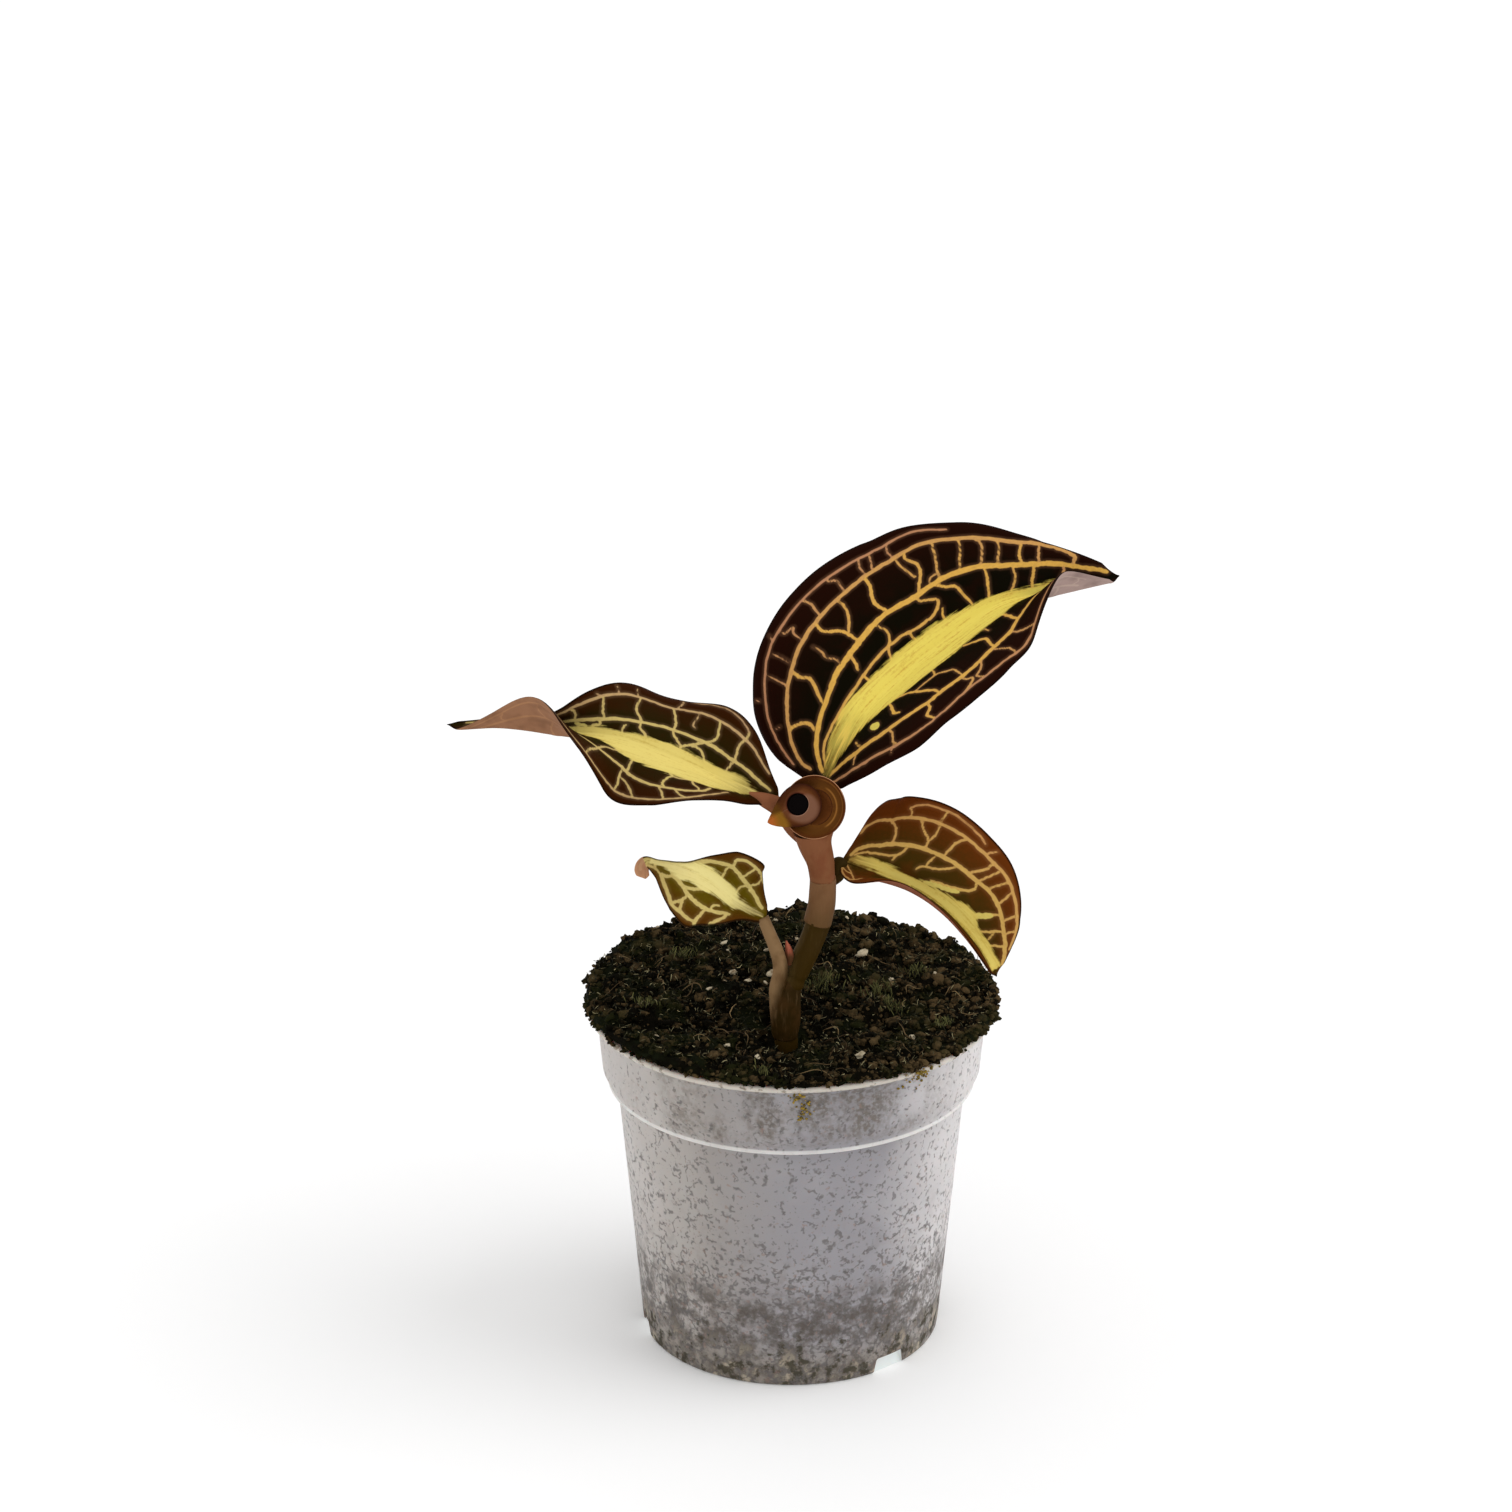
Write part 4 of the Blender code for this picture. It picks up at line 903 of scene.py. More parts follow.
def make_sheath(name, sheath, finish):
    """A sleeve that clasps the stem: flush below, with a thin, open, oblique lip above."""
    count, sides = 28, 48
    low, high, start, end, mouth_turn, mouth_rise, bulge = sheath
    centres, along, _ = stations((*STEM_PATH, NECK_TOP), 400)
    inside = (centres[:, 2] >= low) & (centres[:, 2] <= high + mouth_rise)
    centres, along = centres[inside], along[inside]
    last = len(centres) - 1
    steps = np.linspace(0, 1, count + 1)
    turn = np.linspace(0, math.tau, sides + 1)
    reach = 1 - mouth_rise / (high + mouth_rise - low) * (0.5 - 0.5 * np.cos(turn - mouth_turn * math.tau))
    outer = start + (end - start) * steps ** 1.5 + bulge * np.sin(math.pi * steps)
    inner = outer - SHEATH_WALL
    profile = [*zip(steps, outer), (1.0, end - SHEATH_WALL / 2), *zip(steps[::-1], inner[::-1])]
    rows = []
    for step, radius in profile:
        where = np.clip(step * reach * last, 0, last - 0.001)
        index = where.astype(int)
        part = (where - index)[:, None]
        centre = centres[index] * (1 - part) + centres[np.minimum(index + 1, last)] * part
        right, up = square_to(along[index])
        circle = right * np.cos(turn)[:, None] + up * np.sin(turn)[:, None]
        ripple = 0.04 * np.sin(3 * turn + 9 * step)
        rows.append(centre + circle * (radius + ripple)[:, None])
    return finished(name, skin(np.stack(rows + rows[:1])), finish)


def crown_points(profile, count, fin=0.0):
    """Rings round the crown's axis through a smooth profile of (height, radius, shift, share of the fin).

    Also gives for every point how far along the profile it is, its turn, and how much of it is fin.
    """
    axis = unit(np.array(CROWN_AXIS))
    right = unit(np.cross((0, 0, 1), axis))
    up = np.cross(axis, right)
    profile = spline(profile, np.linspace(0, 1, count + 1))
    angle = np.linspace(-150, 210, CROWN_SIDES + 1)
    off = (angle - FIN_ANGLE + 180) % 360 - 180
    spread = np.where(off < 0, *FIN_SPREADS)
    outline = np.exp(-np.abs(off / spread) ** np.where(off < 0, 1.0, 1.4))
    circle = right * np.cos(np.radians(angle))[:, None] + up * np.sin(np.radians(angle))[:, None]
    aside = right * math.cos(math.radians(ROLL_ASIDE)) + up * math.sin(math.radians(ROLL_ASIDE))
    middle = np.array(CROWN_CENTRE) + axis * profile[:, :1] + aside * profile[:, 2:3]
    radii = np.maximum(profile[:, 1:2], 0) + fin * profile[:, 3:4] * outline
    points = middle[:, None] + circle * radii[..., None]
    place = np.linspace(0, 1, count + 1)[:, None] * np.ones_like(radii)
    fins = profile[:, 3:4] * outline
    return points, np.stack(np.broadcast_arrays(place, angle[None] / 360 + 0.5, fins), axis=-1)


# The colours along each profile of the crown, and the pale and dark arcs on its rings. An arc is its colour,
# the range of the profile that it covers, the direction that it faces in degrees, how far round it reaches
# from there, how much wider it is there, and how soft its outer edge is.
HOOD_STOPS = (
    (0.0, colour(118, 70, 44)), (0.30, colour(116, 70, 38)), (0.42, colour(96, 50, 20)),
    (0.47, colour(84, 40, 15)), (0.60, colour(92, 54, 16)), (0.74, colour(104, 62, 20)),
    (0.83, colour(106, 60, 26)), (1.0, colour(88, 46, 18)),
)
HOOD_ARCS = (
    (colour(206, 152, 112), 0.375, 0.435, 95, 0.42, 0, 0.012),
    (colour(196, 144, 104), 0.37, 0.43, 262, 0.14, 0, 0.012),
    (colour(146, 96, 42), 0.64, 0.67, 5, 0.30, 0, 0.012),
    (colour(122, 76, 32), 0.54, 0.56, 20, 0.35, 0, 0.012),
    (colour(66, 32, 10), 0.76, 0.80, 10, 0.55, 0, 0.012),
)
# From 0.72 on the roll's colours darken to near black: painted shade inside the rolled leaf's hole
ROLL_STOPS = (
    (0.0, colour(104, 64, 36)), (0.28, colour(96, 56, 26)), (0.35, colour(40, 15, 6)),
    (0.42, colour(64, 28, 10)), (0.52, colour(92, 50, 20)), (0.66, colour(104, 60, 34)),
    (0.72, colour(84, 40, 26)), (0.76, colour(14, 4, 4)), (1.0, colour(4, 1, 2)),
)
ROLL_ARCS = (
    (colour(118, 80, 60), 0.74, 0.727, -34, 0.60, 0.30, 0.07),
    # A painted highlight: a thin light line on the inner side of the roll's rim
    (colour(164, 126, 104), 0.70, 0.722, -20, 0.50, 0, 0.012),
)


def crown_finish(name, stops, arcs, fin_near, fin_tip, throat=1.0):
    """Old leaf skin in rings from the back to the throat, and ochre on the fin, with painted shade on the
    upper left.

    Past the throat's place on the profile the skin is nearly black, as painted shade inside the rolled leaf's
    hole.
    """
    paint = Paint(name, specular_ior_level=0.04)
    ring, turn, fin = paint.parts(paint.attribute("ring"))
    angle = (turn - 0.5) * math.tau
    streaks = paint.noise(paint.vector(ring * 0.5, turn * 26.0, 0.0), 1.6, 4.0, 0.6) - 0.5
    rounds = paint.noise(paint.vector(ring * 34.0, turn * 2.5, 0.0), 1.0, 3.0, 0.6) - 0.5
    blotches = paint.noise(paint.place(), 500, 3.0) - 0.5
    dark = paint.soft(streaks * 0.5 + rounds + blotches * 0.4, 0.0, 0.3) * 0.5

    def facing(direction):
        return paint.math("COSINE", angle - math.radians(direction)) * 0.5 + 0.5

    body = paint.over(
        paint.ramp(ring + blotches * 0.03, *stops),
        (dark, colour(58, 24, 7)),
        # Painted shade: darker on the upper left, away from the key light
        (paint.soft(facing(140), 0.72, 0.95) * 0.5, colour(56, 24, 8)),
    )
    for shade, low, high, direction, reach, widening, softness in arcs:
        toward = facing(direction)
        inside = paint.soft(ring + toward * widening - low, -softness, softness)
        inside = inside * paint.fade(ring, high - 0.010, high + 0.010)
        body = paint.mix(inside * paint.soft(toward, 1 - reach, 1 - reach * 0.6), body, shade)
    ochre = paint.over(
        fin_near,
        (paint.soft(fin + blotches * 0.1, 0.45, 0.90), fin_tip),
        (paint.soft(facing(186), 0.955, 0.99) * 0.7, colour(48, 16, 4)),
        (dark * 0.7, colour(104, 58, 18)),
    )
    body = paint.over(
        body,
        (paint.soft(fin, 0.12, 0.34), ochre),
        # Painted shade: near black past the throat, in the hole
        (paint.soft(ring, throat - 0.015, throat + 0.015), colour(5, 1, 1)),
    )
    paint.set(base_color=body, roughness=0.5 + streaks * 0.3)
    paint.bump(streaks * 0.5 + rounds, 0.05, 0.6)
    return paint.material


def wall_radius(height):
    """The pot's outer radius at a height on its body."""
    return FOOT_RADIUS + (BODY_TOP_RADIUS - FOOT_RADIUS) * height / LEDGE_HEIGHT


def arc(centre, radius, start, end, count):
    """Points of a profile on an arc, with angles in degrees from the outward direction up."""
    angles = np.radians(np.linspace(start, end, count + 1))
    return [(centre[0] + radius * math.cos(a), centre[1] + radius * math.sin(a)) for a in angles]


def pot_profile():
    """The pot's half section, from the middle of its underside out, up and back down inside."""
    floor = BASE_HEIGHT + 1.0
    inner = [(radius - POT_WALL, height + 0.3) for radius, height in COLLAR]
    ledge = COLLAR[0][0]
    return [
        (0, 0),
        (FOOT_PAD_RADIUS - 0.2, 0),
        *arc((FOOT_PAD_RADIUS - 0.2, 0.3), 0.3, -90, 0, 3),
        (FOOT_PAD_RADIUS + 0.6, BASE_HEIGHT),
        (wall_radius(BASE_HEIGHT) - 1.2, BASE_HEIGHT),
        (FOOT_RADIUS - 1.0, 0.2),
        *arc((FOOT_RADIUS - 0.8, 0.2), 0.2, -180, -90, 3),
        *arc((FOOT_RADIUS - 0.5, 0.5), 0.5, -90, 0, 5),
        *[(wall_radius(height), height) for height in np.linspace(2, LEDGE_HEIGHT - 1.2, 18)],
        (wall_radius(LEDGE_HEIGHT - 0.4), LEDGE_HEIGHT - 0.4),
        (wall_radius(LEDGE_HEIGHT) + 0.15, LEDGE_HEIGHT - 0.05),
        *arc((ledge - 0.25, LEDGE_HEIGHT + 0.22), 0.34, -90, 35, 7),
        (ledge + 0.12, LEDGE_HEIGHT + 0.85),
        (COLLAR[1][0], COLLAR[1][1]),
        *[tuple(pair) for pair in np.linspace(COLLAR[1], COLLAR[2], 4)[1:]],
        *[tuple(pair) for pair in np.linspace(COLLAR[2], COLLAR[3], 5)[1:]],
        (LIP_RADIUS - 0.95, COLLAR[3][1] + 0.9),
        (LIP_RADIUS - 0.25, COLLAR[3][1] + 1.2),
        *arc((LIP_RADIUS - 0.45, POT_HEIGHT - 0.45), 0.45, 0, 90, 6),
        *arc((LIP_RADIUS - 0.8, POT_HEIGHT - 0.4), 0.4, 90, 160, 4),
        (inner[3][0] + 0.1, COLLAR[3][1] + 0.4),
        *inner[::-1],
        (wall_radius(LEDGE_HEIGHT) - POT_WALL, LEDGE_HEIGHT),
        (wall_radius(floor) - POT_WALL, floor + 0.5),
        (wall_radius(floor) - POT_WALL - 0.5, floor),
        (0, floor),
    ]


def cutter(bm, angle, distance):
    """Turns a cutter's bmesh to an angle to the right of -Y, at a distance from the pot's axis."""
    turn = Matrix.Rotation(math.radians(angle), 3, "Z")
    bmesh.ops.translate(bm, vec=(0, -distance, 0), verts=bm.verts)
    bmesh.ops.rotate(bm, cent=(0, 0, 0), matrix=turn, verts=bm.verts)
    bmesh.ops.scale(bm, vec=(MM, MM, MM), verts=bm.verts)
    mesh = bpy.data.meshes.new("cutter")
    bm.to_mesh(mesh)
    bm.free()
    made = bpy.data.objects.new("cutter", mesh)
    bpy.context.scene.collection.objects.link(made)
    return made


def foot_notch(angle):
    bm = bmesh.new()
    bmesh.ops.create_cube(bm, size=1)
    width = 2 * FOOT_RADIUS * math.sin(math.radians(NOTCH_SPAN / 2))
    thickness = 4
    bmesh.ops.scale(bm, vec=(width, thickness, NOTCH_HEIGHT * 2), verts=bm.verts)
    for vert in bm.verts:
        if vert.co.z > 0:
            vert.co.x *= NOTCH_TAPER
    top = [edge for edge in bm.edges if all(vert.co.z > 0 for vert in edge.verts)]
    bmesh.ops.bevel(bm, geom=top, offset=NOTCH_ROUNDING, segments=3, profile=0.5, affect="EDGES",
                    material=-1)
    return cutter(bm, angle, FOOT_RADIUS - NOTCH_DEPTH + thickness / 2)


def drain_hole(angle):
    bm = bmesh.new()
    bmesh.ops.create_cone(bm, cap_ends=True, segments=32, radius1=DRAIN_RADIUS, radius2=DRAIN_RADIUS,
                          depth=8)
    return cutter(bm, angle, DRAIN_CIRCLE)


def pot_finish():
    """Thin grey-white plastic with soil showing through: squiggly specks, and dirtier to the foot. Painted
    light as well: lighter sides, paler on the right, a painted highlight along the ledge, and near-white
    notch recesses.
    """
    paint = Paint("pot_plastic", specular_ior_level=0.35, subsurface_weight=0.1, subsurface_scale=0.003)
    place = paint.place()
    x, y, height = paint.parts(place)
    broad = paint.noise(place, 90, 3.0)
    cloud = paint.noise(place, 300, 4.0, 0.6)
    fine = paint.noise(place, 1400, 3.0, 0.6) - 0.5
    wavy = paint.noise(place, 430, 2.0, 0.5)

    collar = paint.soft(height, 40.8, 42.0, MM)
    lip = paint.soft(height, 50.9, 51.3, MM)
    low = paint.fade(height + fine * 0.004, 6, 34, MM)
    belt = paint.fade(height, 12, 19, MM)
    ground = paint.fade(height, 6, 14, MM)
    foot = paint.fade(height, 2, 9, MM)
    # Painted light: how far toward the pot's sides the lighter colour is laid
    painted_light_flank = paint.soft(abs(x), 10, 26, MM)
    # Painted highlight: a thin bright line along the ledge below the collar
    ledge = paint.fade(abs(height - (LEDGE_HEIGHT + 0.15) * MM), 0.28, 0.6, MM)
    reach = paint.math("SQRT", x * x + y * y)
    # Painted light: the notch recesses at the foot are near white, as if lit through the thin plastic
    painted_light_recess = paint.fade(reach, 21.65, 21.85, MM) * paint.fade(height, 2.8, 3.0, MM)

    stain = paint.soft(paint.noise(paint.stretched(place, 1, 1, 0.7), 170, 4.0, 0.6), 0.38, 0.60)
    speckle = paint.soft(fine, -0.12, 0.10) * 0.5 + 0.3
    mottle = paint.soft(paint.noise(place, 420, 4.0, 0.6) + fine * 0.15, 0.48, 0.70) * low * (1 - foot)
    patch = paint.soft(cloud + belt * 0.10 + fine * 0.35, 0.42, 0.74) * belt
    cream = paint.soft(cloud + fine * 0.2, 0.52, 0.66) * foot
    gate = paint.noise(place, 980, 2.0, 0.5) + low * 0.10 + (broad - 0.5) * 0.25 - collar * 0.05
    dash = paint.fade(abs(wavy - 0.5), 0.008, 0.060) * paint.soft(gate, 0.50, 0.62)
    dot = paint.soft(paint.noise(place, 1250, 3.0, 0.5) + low * 0.05, 0.60, 0.68)
    rust = paint.soft(paint.noise(place, 1000, 3.0, 0.5) + low * 0.04, 0.66, 0.72)
    grime = paint.soft(paint.noise(place, 520, 4.0, 0.6) + foot * 0.10 + fine * 0.1, 0.58, 0.70) * ground
    dust = paint.soft(paint.noise(place, 760, 4.0, 0.6), 0.52, 0.62) * lip

    # Painted light: edge is the lighter colour of the sides, paler on the right where the key light falls
    front = paint.mix(paint.soft(x, -20, 4, MM), colour(156, 149, 142), colour(146, 143, 147))
    edge = paint.mix(paint.soft(x, -10, 10, MM), colour(196, 190, 186), colour(218, 213, 212))
    body = paint.over(
        front,
        # Painted light: the sides are lighter than the front
        (painted_light_flank * 0.85 + (broad - 0.5) * 0.6, edge),
        (stain * collar * (1 - painted_light_flank * 0.9) * speckle, colour(92, 82, 70)),
        (foot * 0.8, colour(140, 131, 120)),
        (mottle * 0.6, colour(118, 108, 102)),
        (patch * 0.9, colour(76, 67, 59)),
        (cream * 0.75, colour(184, 172, 152)),
        (dash * (0.75 + low * 0.1), colour(94, 89, 87)),
        (dot * 0.6, colour(84, 78, 76)),
        (rust * 0.5, colour(138, 112, 100)),
        (grime * 0.9, colour(58, 53, 38)),
        # Painted highlight along the ledge
        (ledge * (0.4 + cloud * 0.5), colour(236, 234, 230)),
        (lip * 0.85, colour(206, 198, 186)),
        (dust * 0.75, colour(96, 78, 54)),
        # Painted light in the notch recesses
        (painted_light_recess, colour(236, 238, 236)),
    )
    paint.set(base_color=body, roughness=0.36 + cloud * 0.25 + grime * 0.3)
    paint.bump(cloud * 0.5 + wavy * 0.3 + grime * 0.8, 0.12, 0.3)
    return paint.material


def polar(reach, turn, *height):
    """A place at a distance from the pot's axis and a turn in radians from +X."""
    return reach * math.cos(turn), reach * math.sin(turn), *height


def on_disc(draw, edge):
    """A random place no further than edge from the pot's axis."""
    reach = edge * math.sqrt(draw.random())
    return polar(reach, draw.uniform(0, math.tau))


def soil_lumps():
    """Seeded places, sizes and heights of the lumps, drawn as for the solid."""
    draw = random.Random(SOIL_SEED)
    lumps = []
    for _ in range(CRUMB_COUNT):
        x, y = on_disc(draw, SOIL_EDGE_RADIUS)
        lumps.append((x, y, draw.uniform(*CRUMB_SIZES), draw.uniform(*CRUMB_HEIGHTS)))
    return np.array(lumps)


SOIL_LUMPS = soil_lumps()


def soil_height(x, y):
    """The soil's surface: level with the lip in front, heaped behind, with lumps."""
    x, y = np.asarray(x, float), np.asarray(y, float)
    reach = np.hypot(x, y) / SOIL_EDGE_RADIUS
    heap = SOIL_LEVEL + SOIL_HEAP * (1 - reach ** 2) * (1 + y / SOIL_EDGE_RADIUS) / 2
    heap += (SOIL_REAR_RISE * np.maximum(y, 0) + SOIL_LEFT_RISE * np.maximum(-x, 0)) / SOIL_EDGE_RADIUS
    (hollow_x, hollow_y), depth, spread = SOIL_HOLLOW
    heap -= depth * np.exp(-((x - hollow_x) ** 2 + (y - hollow_y) ** 2) / spread ** 2)
    lump_x, lump_y, size, height = SOIL_LUMPS.T
    away = ((x[..., None] - lump_x) ** 2 + (y[..., None] - lump_y) ** 2) / size ** 2
    return heap + np.max(height * np.clip(1 - away, 0, 1), axis=-1)


def clear_of_stem(x, y, distance=STEM_CLEARANCE):
    return math.hypot(x - STEM_FOOT[0], y - STEM_FOOT[1]) > distance


def on_soil(x, y, border):
    """Whether a place is clear of the stem and further than border inside the soil's edge."""
    return math.hypot(x, y) <= SOIL_EDGE_RADIUS - border and clear_of_stem(x, y)


def soil_finish(name, dark, brown, green, pale):
    """Crumbly peat: near black, with brown, greenish and a few pale grains; each crumb has its own tone. It
    is painted browner to the right as painted light, and darker to the left as painted shade.
    """
    paint = Paint(name, specular_ior_level=0.03)
    tone = paint.attribute("tone", "Fac")
    place = paint.place()
    coarse = paint.noise(place, 700, 5.0, 0.65)
    fine = paint.noise(place, 3200, 3.0, 0.6)
    east = paint.parts(place)[0]
    # Each crumb's own tone, plus painted light: browner toward the right where the key light falls
    brown_and_painted_light = coarse + tone * 0.42 + paint.soft(east, -6, 28, MM) * 0.12
    body = paint.over(
        dark,
        (paint.soft(brown_and_painted_light, 0.64, 1.02), brown),
        (paint.soft(paint.noise(place, 200, 3.0), 0.46, 0.62) * 0.7, green),
        (paint.soft(fine + tone * 0.1, 0.70, 0.80) * 0.35, pale),
    )
    paint.set(base_color=body, roughness=0.85 + fine * 0.15)
    paint.bump(coarse * 0.6 + fine * 0.4, 0.5, 0.9)
    return paint.material


def flake_finish():
    """Chalky pale mineral flakes, stained by the soil."""
    paint = Paint("flake", specular_ior_level=0.3)
    stain = paint.noise(paint.place(), 900, 4.0, 0.6)
    body = paint.mix(paint.soft(stain, 0.45, 0.7), colour(190, 178, 150), colour(120, 102, 76))
    paint.set(base_color=body, roughness=0.75 + stain * 0.2)
    paint.bump(stain, 0.3, 0.8)
    return paint.material


def fibre_finish(name, light, dark):
    """Dry fibres, each a little lighter or darker."""
    paint = Paint(name, specular_ior_level=0.1)
    tone = paint.attribute("tone", "Fac")
    grain = paint.noise(paint.place(), 1600, 3.0, 0.6)
    paint.set(base_color=paint.mix(tone + grain * 0.4 - 0.2, dark, light), roughness=0.65 + grain * 0.25)
    return paint.material


def set_tone(piece, tones):
    """Keeps a number for every vertex as the attribute that the soil finishes read."""
    layer = piece.data.attributes.new("tone", "FLOAT", "POINT")
    layer.data.foreach_set("value", np.asarray(tones, np.float32))


class Heap:
    """Many small shapes gathered in one mesh, each with a tone of its own from 0 to 1."""

    def __init__(self):
        self.bm = bmesh.new()
        self.tones = []
        self.mesh = bpy.data.meshes.new("gathered")

    def add(self, shape, tone):
        self.tones += [tone] * len(shape.verts)
        shape.to_mesh(self.mesh)
        shape.free()
        self.bm.from_mesh(self.mesh)

    def finish(self, name, finish):
        bpy.data.meshes.remove(self.mesh)
        piece = finished(name, self.bm, finish)
        set_tone(piece, self.tones)


def lump(draw, centre, size, detail, roughness, squash):
    """A rough crumb: a ball with its vertices pushed in and out by noise, squashed and turned at random."""
    bm = bmesh.new()
    bmesh.ops.create_icosphere(bm, subdivisions=detail, radius=1)
    offset = Vector([draw.uniform(-50, 50) for _ in range(3)])
    for vert in bm.verts:
        push = noise.noise(vert.co * 1.1 + offset) + 0.6 * noise.noise(vert.co * 2.7 + offset)
        vert.co *= 1 + roughness * push
    width, depth = size * draw.uniform(0.75, 1.35), size * draw.uniform(0.7, 1.1)
    bmesh.ops.scale(bm, vec=(width, depth, size * squash * draw.uniform(0.8, 1.2)), verts=bm.verts)
    spin = Matrix.Rotation(draw.uniform(0, math.tau), 3, "Z")
    tilt = Matrix.Rotation(draw.uniform(-0.6, 0.6), 3, "X")
    bmesh.ops.rotate(bm, cent=(0, 0, 0), matrix=spin @ tilt, verts=bm.verts)
    bmesh.ops.translate(bm, vec=centre, verts=bm.verts)
    return bm


def strand(points, radius, sides, taper=0.3):
    """A thin closed tube through points, tapering to its ends."""
    steps = np.linspace(0, 1, 3 * (len(points) - 1) + 1)
    centres = spline(points, steps)
    radii = radius * (1 - (1 - taper) * np.abs(2 * steps - 1) ** 3)
    return skin(rings(centres, unit(np.gradient(centres, axis=0)), radii, sides))


class PotSettings(bpy.types.PropertyGroup):
    segments: bpy.props.IntProperty(
        name="Segments", description="Faces round the pot", default=200, min=32, max=400)
    wobble: bpy.props.FloatProperty(
        name="Wobble", description="How far the wall is out of round, in mm", default=0.10, min=0, max=1)


class SoilSettings(bpy.types.PropertyGroup):
    crumbs: bpy.props.IntProperty(
        name="Crumbs", description="Larger crumbs on the soil", default=1250, min=0, max=2000)
    grains: bpy.props.IntProperty(
        name="Grains", description="Small grains on the soil", default=5200, min=0, max=8000)
    fibres: bpy.props.IntProperty(
        name="Fibres", description="Plant fibres lying on the soil", default=70, min=0, max=1000)
    fuzz: bpy.props.IntProperty(
        name="Fuzz", description="Short fine strands on the crumbs", default=2800, min=0, max=8000)
    spilled: bpy.props.IntProperty(
        name="Spilled", description="Small crumbs at the sides of the pot's lip", default=300, min=0,
        max=2000)
    flakes: bpy.props.IntProperty(
        name="Flakes", description="Pale mineral flakes in the soil", default=16, min=0, max=200)
    peat: bpy.props.FloatVectorProperty(
        name="Peat", description="The darkest colour of the soil", subtype="COLOR", size=4, min=0, max=1,
        default=colour(11, 9, 4))


class LeafSettings(bpy.types.PropertyGroup):
    thickness: bpy.props.FloatProperty(
        name="Thickness", description="Thickness of a blade, in mm", default=0.46, min=0.1, max=1)
    cell_swell: bpy.props.FloatProperty(
        name="Cell swell", description="How far the cells stand up between veins, in mm", default=0.10,
        min=0)
    keel: bpy.props.FloatProperty(
        name="Keel", description="How far the rib stands out below, in mm", default=0.45, min=0)
    vein_wobble: bpy.props.FloatProperty(
        name="Vein wobble", description="How unsteady the veins run, in mm", default=0.07, min=0, max=1)
    base_blush: bpy.props.FloatProperty(
        name="Base blush", description="Share of the leaf whose band is tinged", default=0.20, min=0.01,
        max=1, subtype="FACTOR")


class StemSettings(bpy.types.PropertyGroup):
    # Shade is the stem's colour at its foot and on its right, light its colour higher up and on its left: the
    # change with height is the stem's own, while the darker right is painted shade and the paler left painted
    # light
    shade: bpy.props.FloatVectorProperty(
        name="Shade", description="The stem's colour on its right", subtype="COLOR", size=4, min=0, max=1,
        default=colour(54, 38, 7))
    light: bpy.props.FloatVectorProperty(
        name="Light", description="The stem's colour on its left", subtype="COLOR", size=4, min=0, max=1,
        default=colour(88, 70, 38))


class StageSettings(bpy.types.PropertyGroup):
    key: bpy.props.FloatProperty(
        name="Key light", description="Strength of the soft light from the right", default=0.85, min=0)
    rim: bpy.props.FloatProperty(
        name="Rim light", description="Strength of the very soft light from the left rear", default=0.10,
        min=0)
    room: bpy.props.FloatProperty(
        name="Room light", description="Strength of the white surroundings", default=0.86, min=0)
    lens: bpy.props.FloatProperty(
        name="Lens", description="Focal length in mm", default=123.8, min=10, subtype="DISTANCE_CAMERA")
    pitch: bpy.props.FloatProperty(
        name="Pitch", description="How far the camera looks down", default=math.radians(22.17),
        subtype="ANGLE")
    distance: bpy.props.FloatProperty(
        name="Distance", description="From the camera to the middle of the plant, in mm", default=747.0,
        min=100)


class ORCHID_OT_pot(bpy.types.Operator):
    """Turns the pot and cuts its notches and drain holes"""
    bl_idname = "orchid.pot"
    bl_label = "Pot"

    def execute(self, context):
        look = context.scene.orchid_pot
        bm = bmesh.new()
        verts = [bm.verts.new((radius, 0, height)) for radius, height in pot_profile()]
        edges = [bm.edges.new(pair) for pair in zip(verts, verts[1:])]
        bmesh.ops.spin(bm, geom=verts + edges, cent=(0, 0, 0), axis=(0, 0, 1), angle=math.tau,
                       steps=look.segments, use_merge=True)
        bmesh.ops.remove_doubles(bm, verts=bm.verts, dist=WELD)
        for vert in bm.verts:
            angle = math.atan2(vert.co.y, vert.co.x)
            share = min(1, max(0, vert.co.z - WOBBLE_FROM) / WOBBLE_RISE)
            swing = math.sin(2 * angle + 0.6) + 0.5 * math.sin(5 * angle + vert.co.z * 0.09)
            scale = 1 - look.wobble * share * (1.5 - swing) / 2 / FOOT_RADIUS
            vert.co.x *= scale
            vert.co.y *= scale
        pot = finished("pot_shell", bm, pot_finish())
        cutters = [*map(foot_notch, NOTCH_ANGLES), *map(drain_hole, DRAIN_ANGLES)]
        for tool in cutters:
            cut = pot.modifiers.new("cut", "BOOLEAN")
            cut.operation = "DIFFERENCE"
            cut.solver = "EXACT"
            cut.object = tool
        context.view_layer.update()
        evaluated = pot.evaluated_get(context.evaluated_depsgraph_get())
        mesh = bpy.data.meshes.new_from_object(evaluated)
        pot.modifiers.clear()
        pot.data = mesh
        for tool in cutters:
            bpy.data.objects.remove(tool)
        mesh.shade_smooth()
        mesh.set_sharp_from_angle(angle=math.radians(SHARP_ANGLE))
        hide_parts("pot")
        return {"FINISHED"}


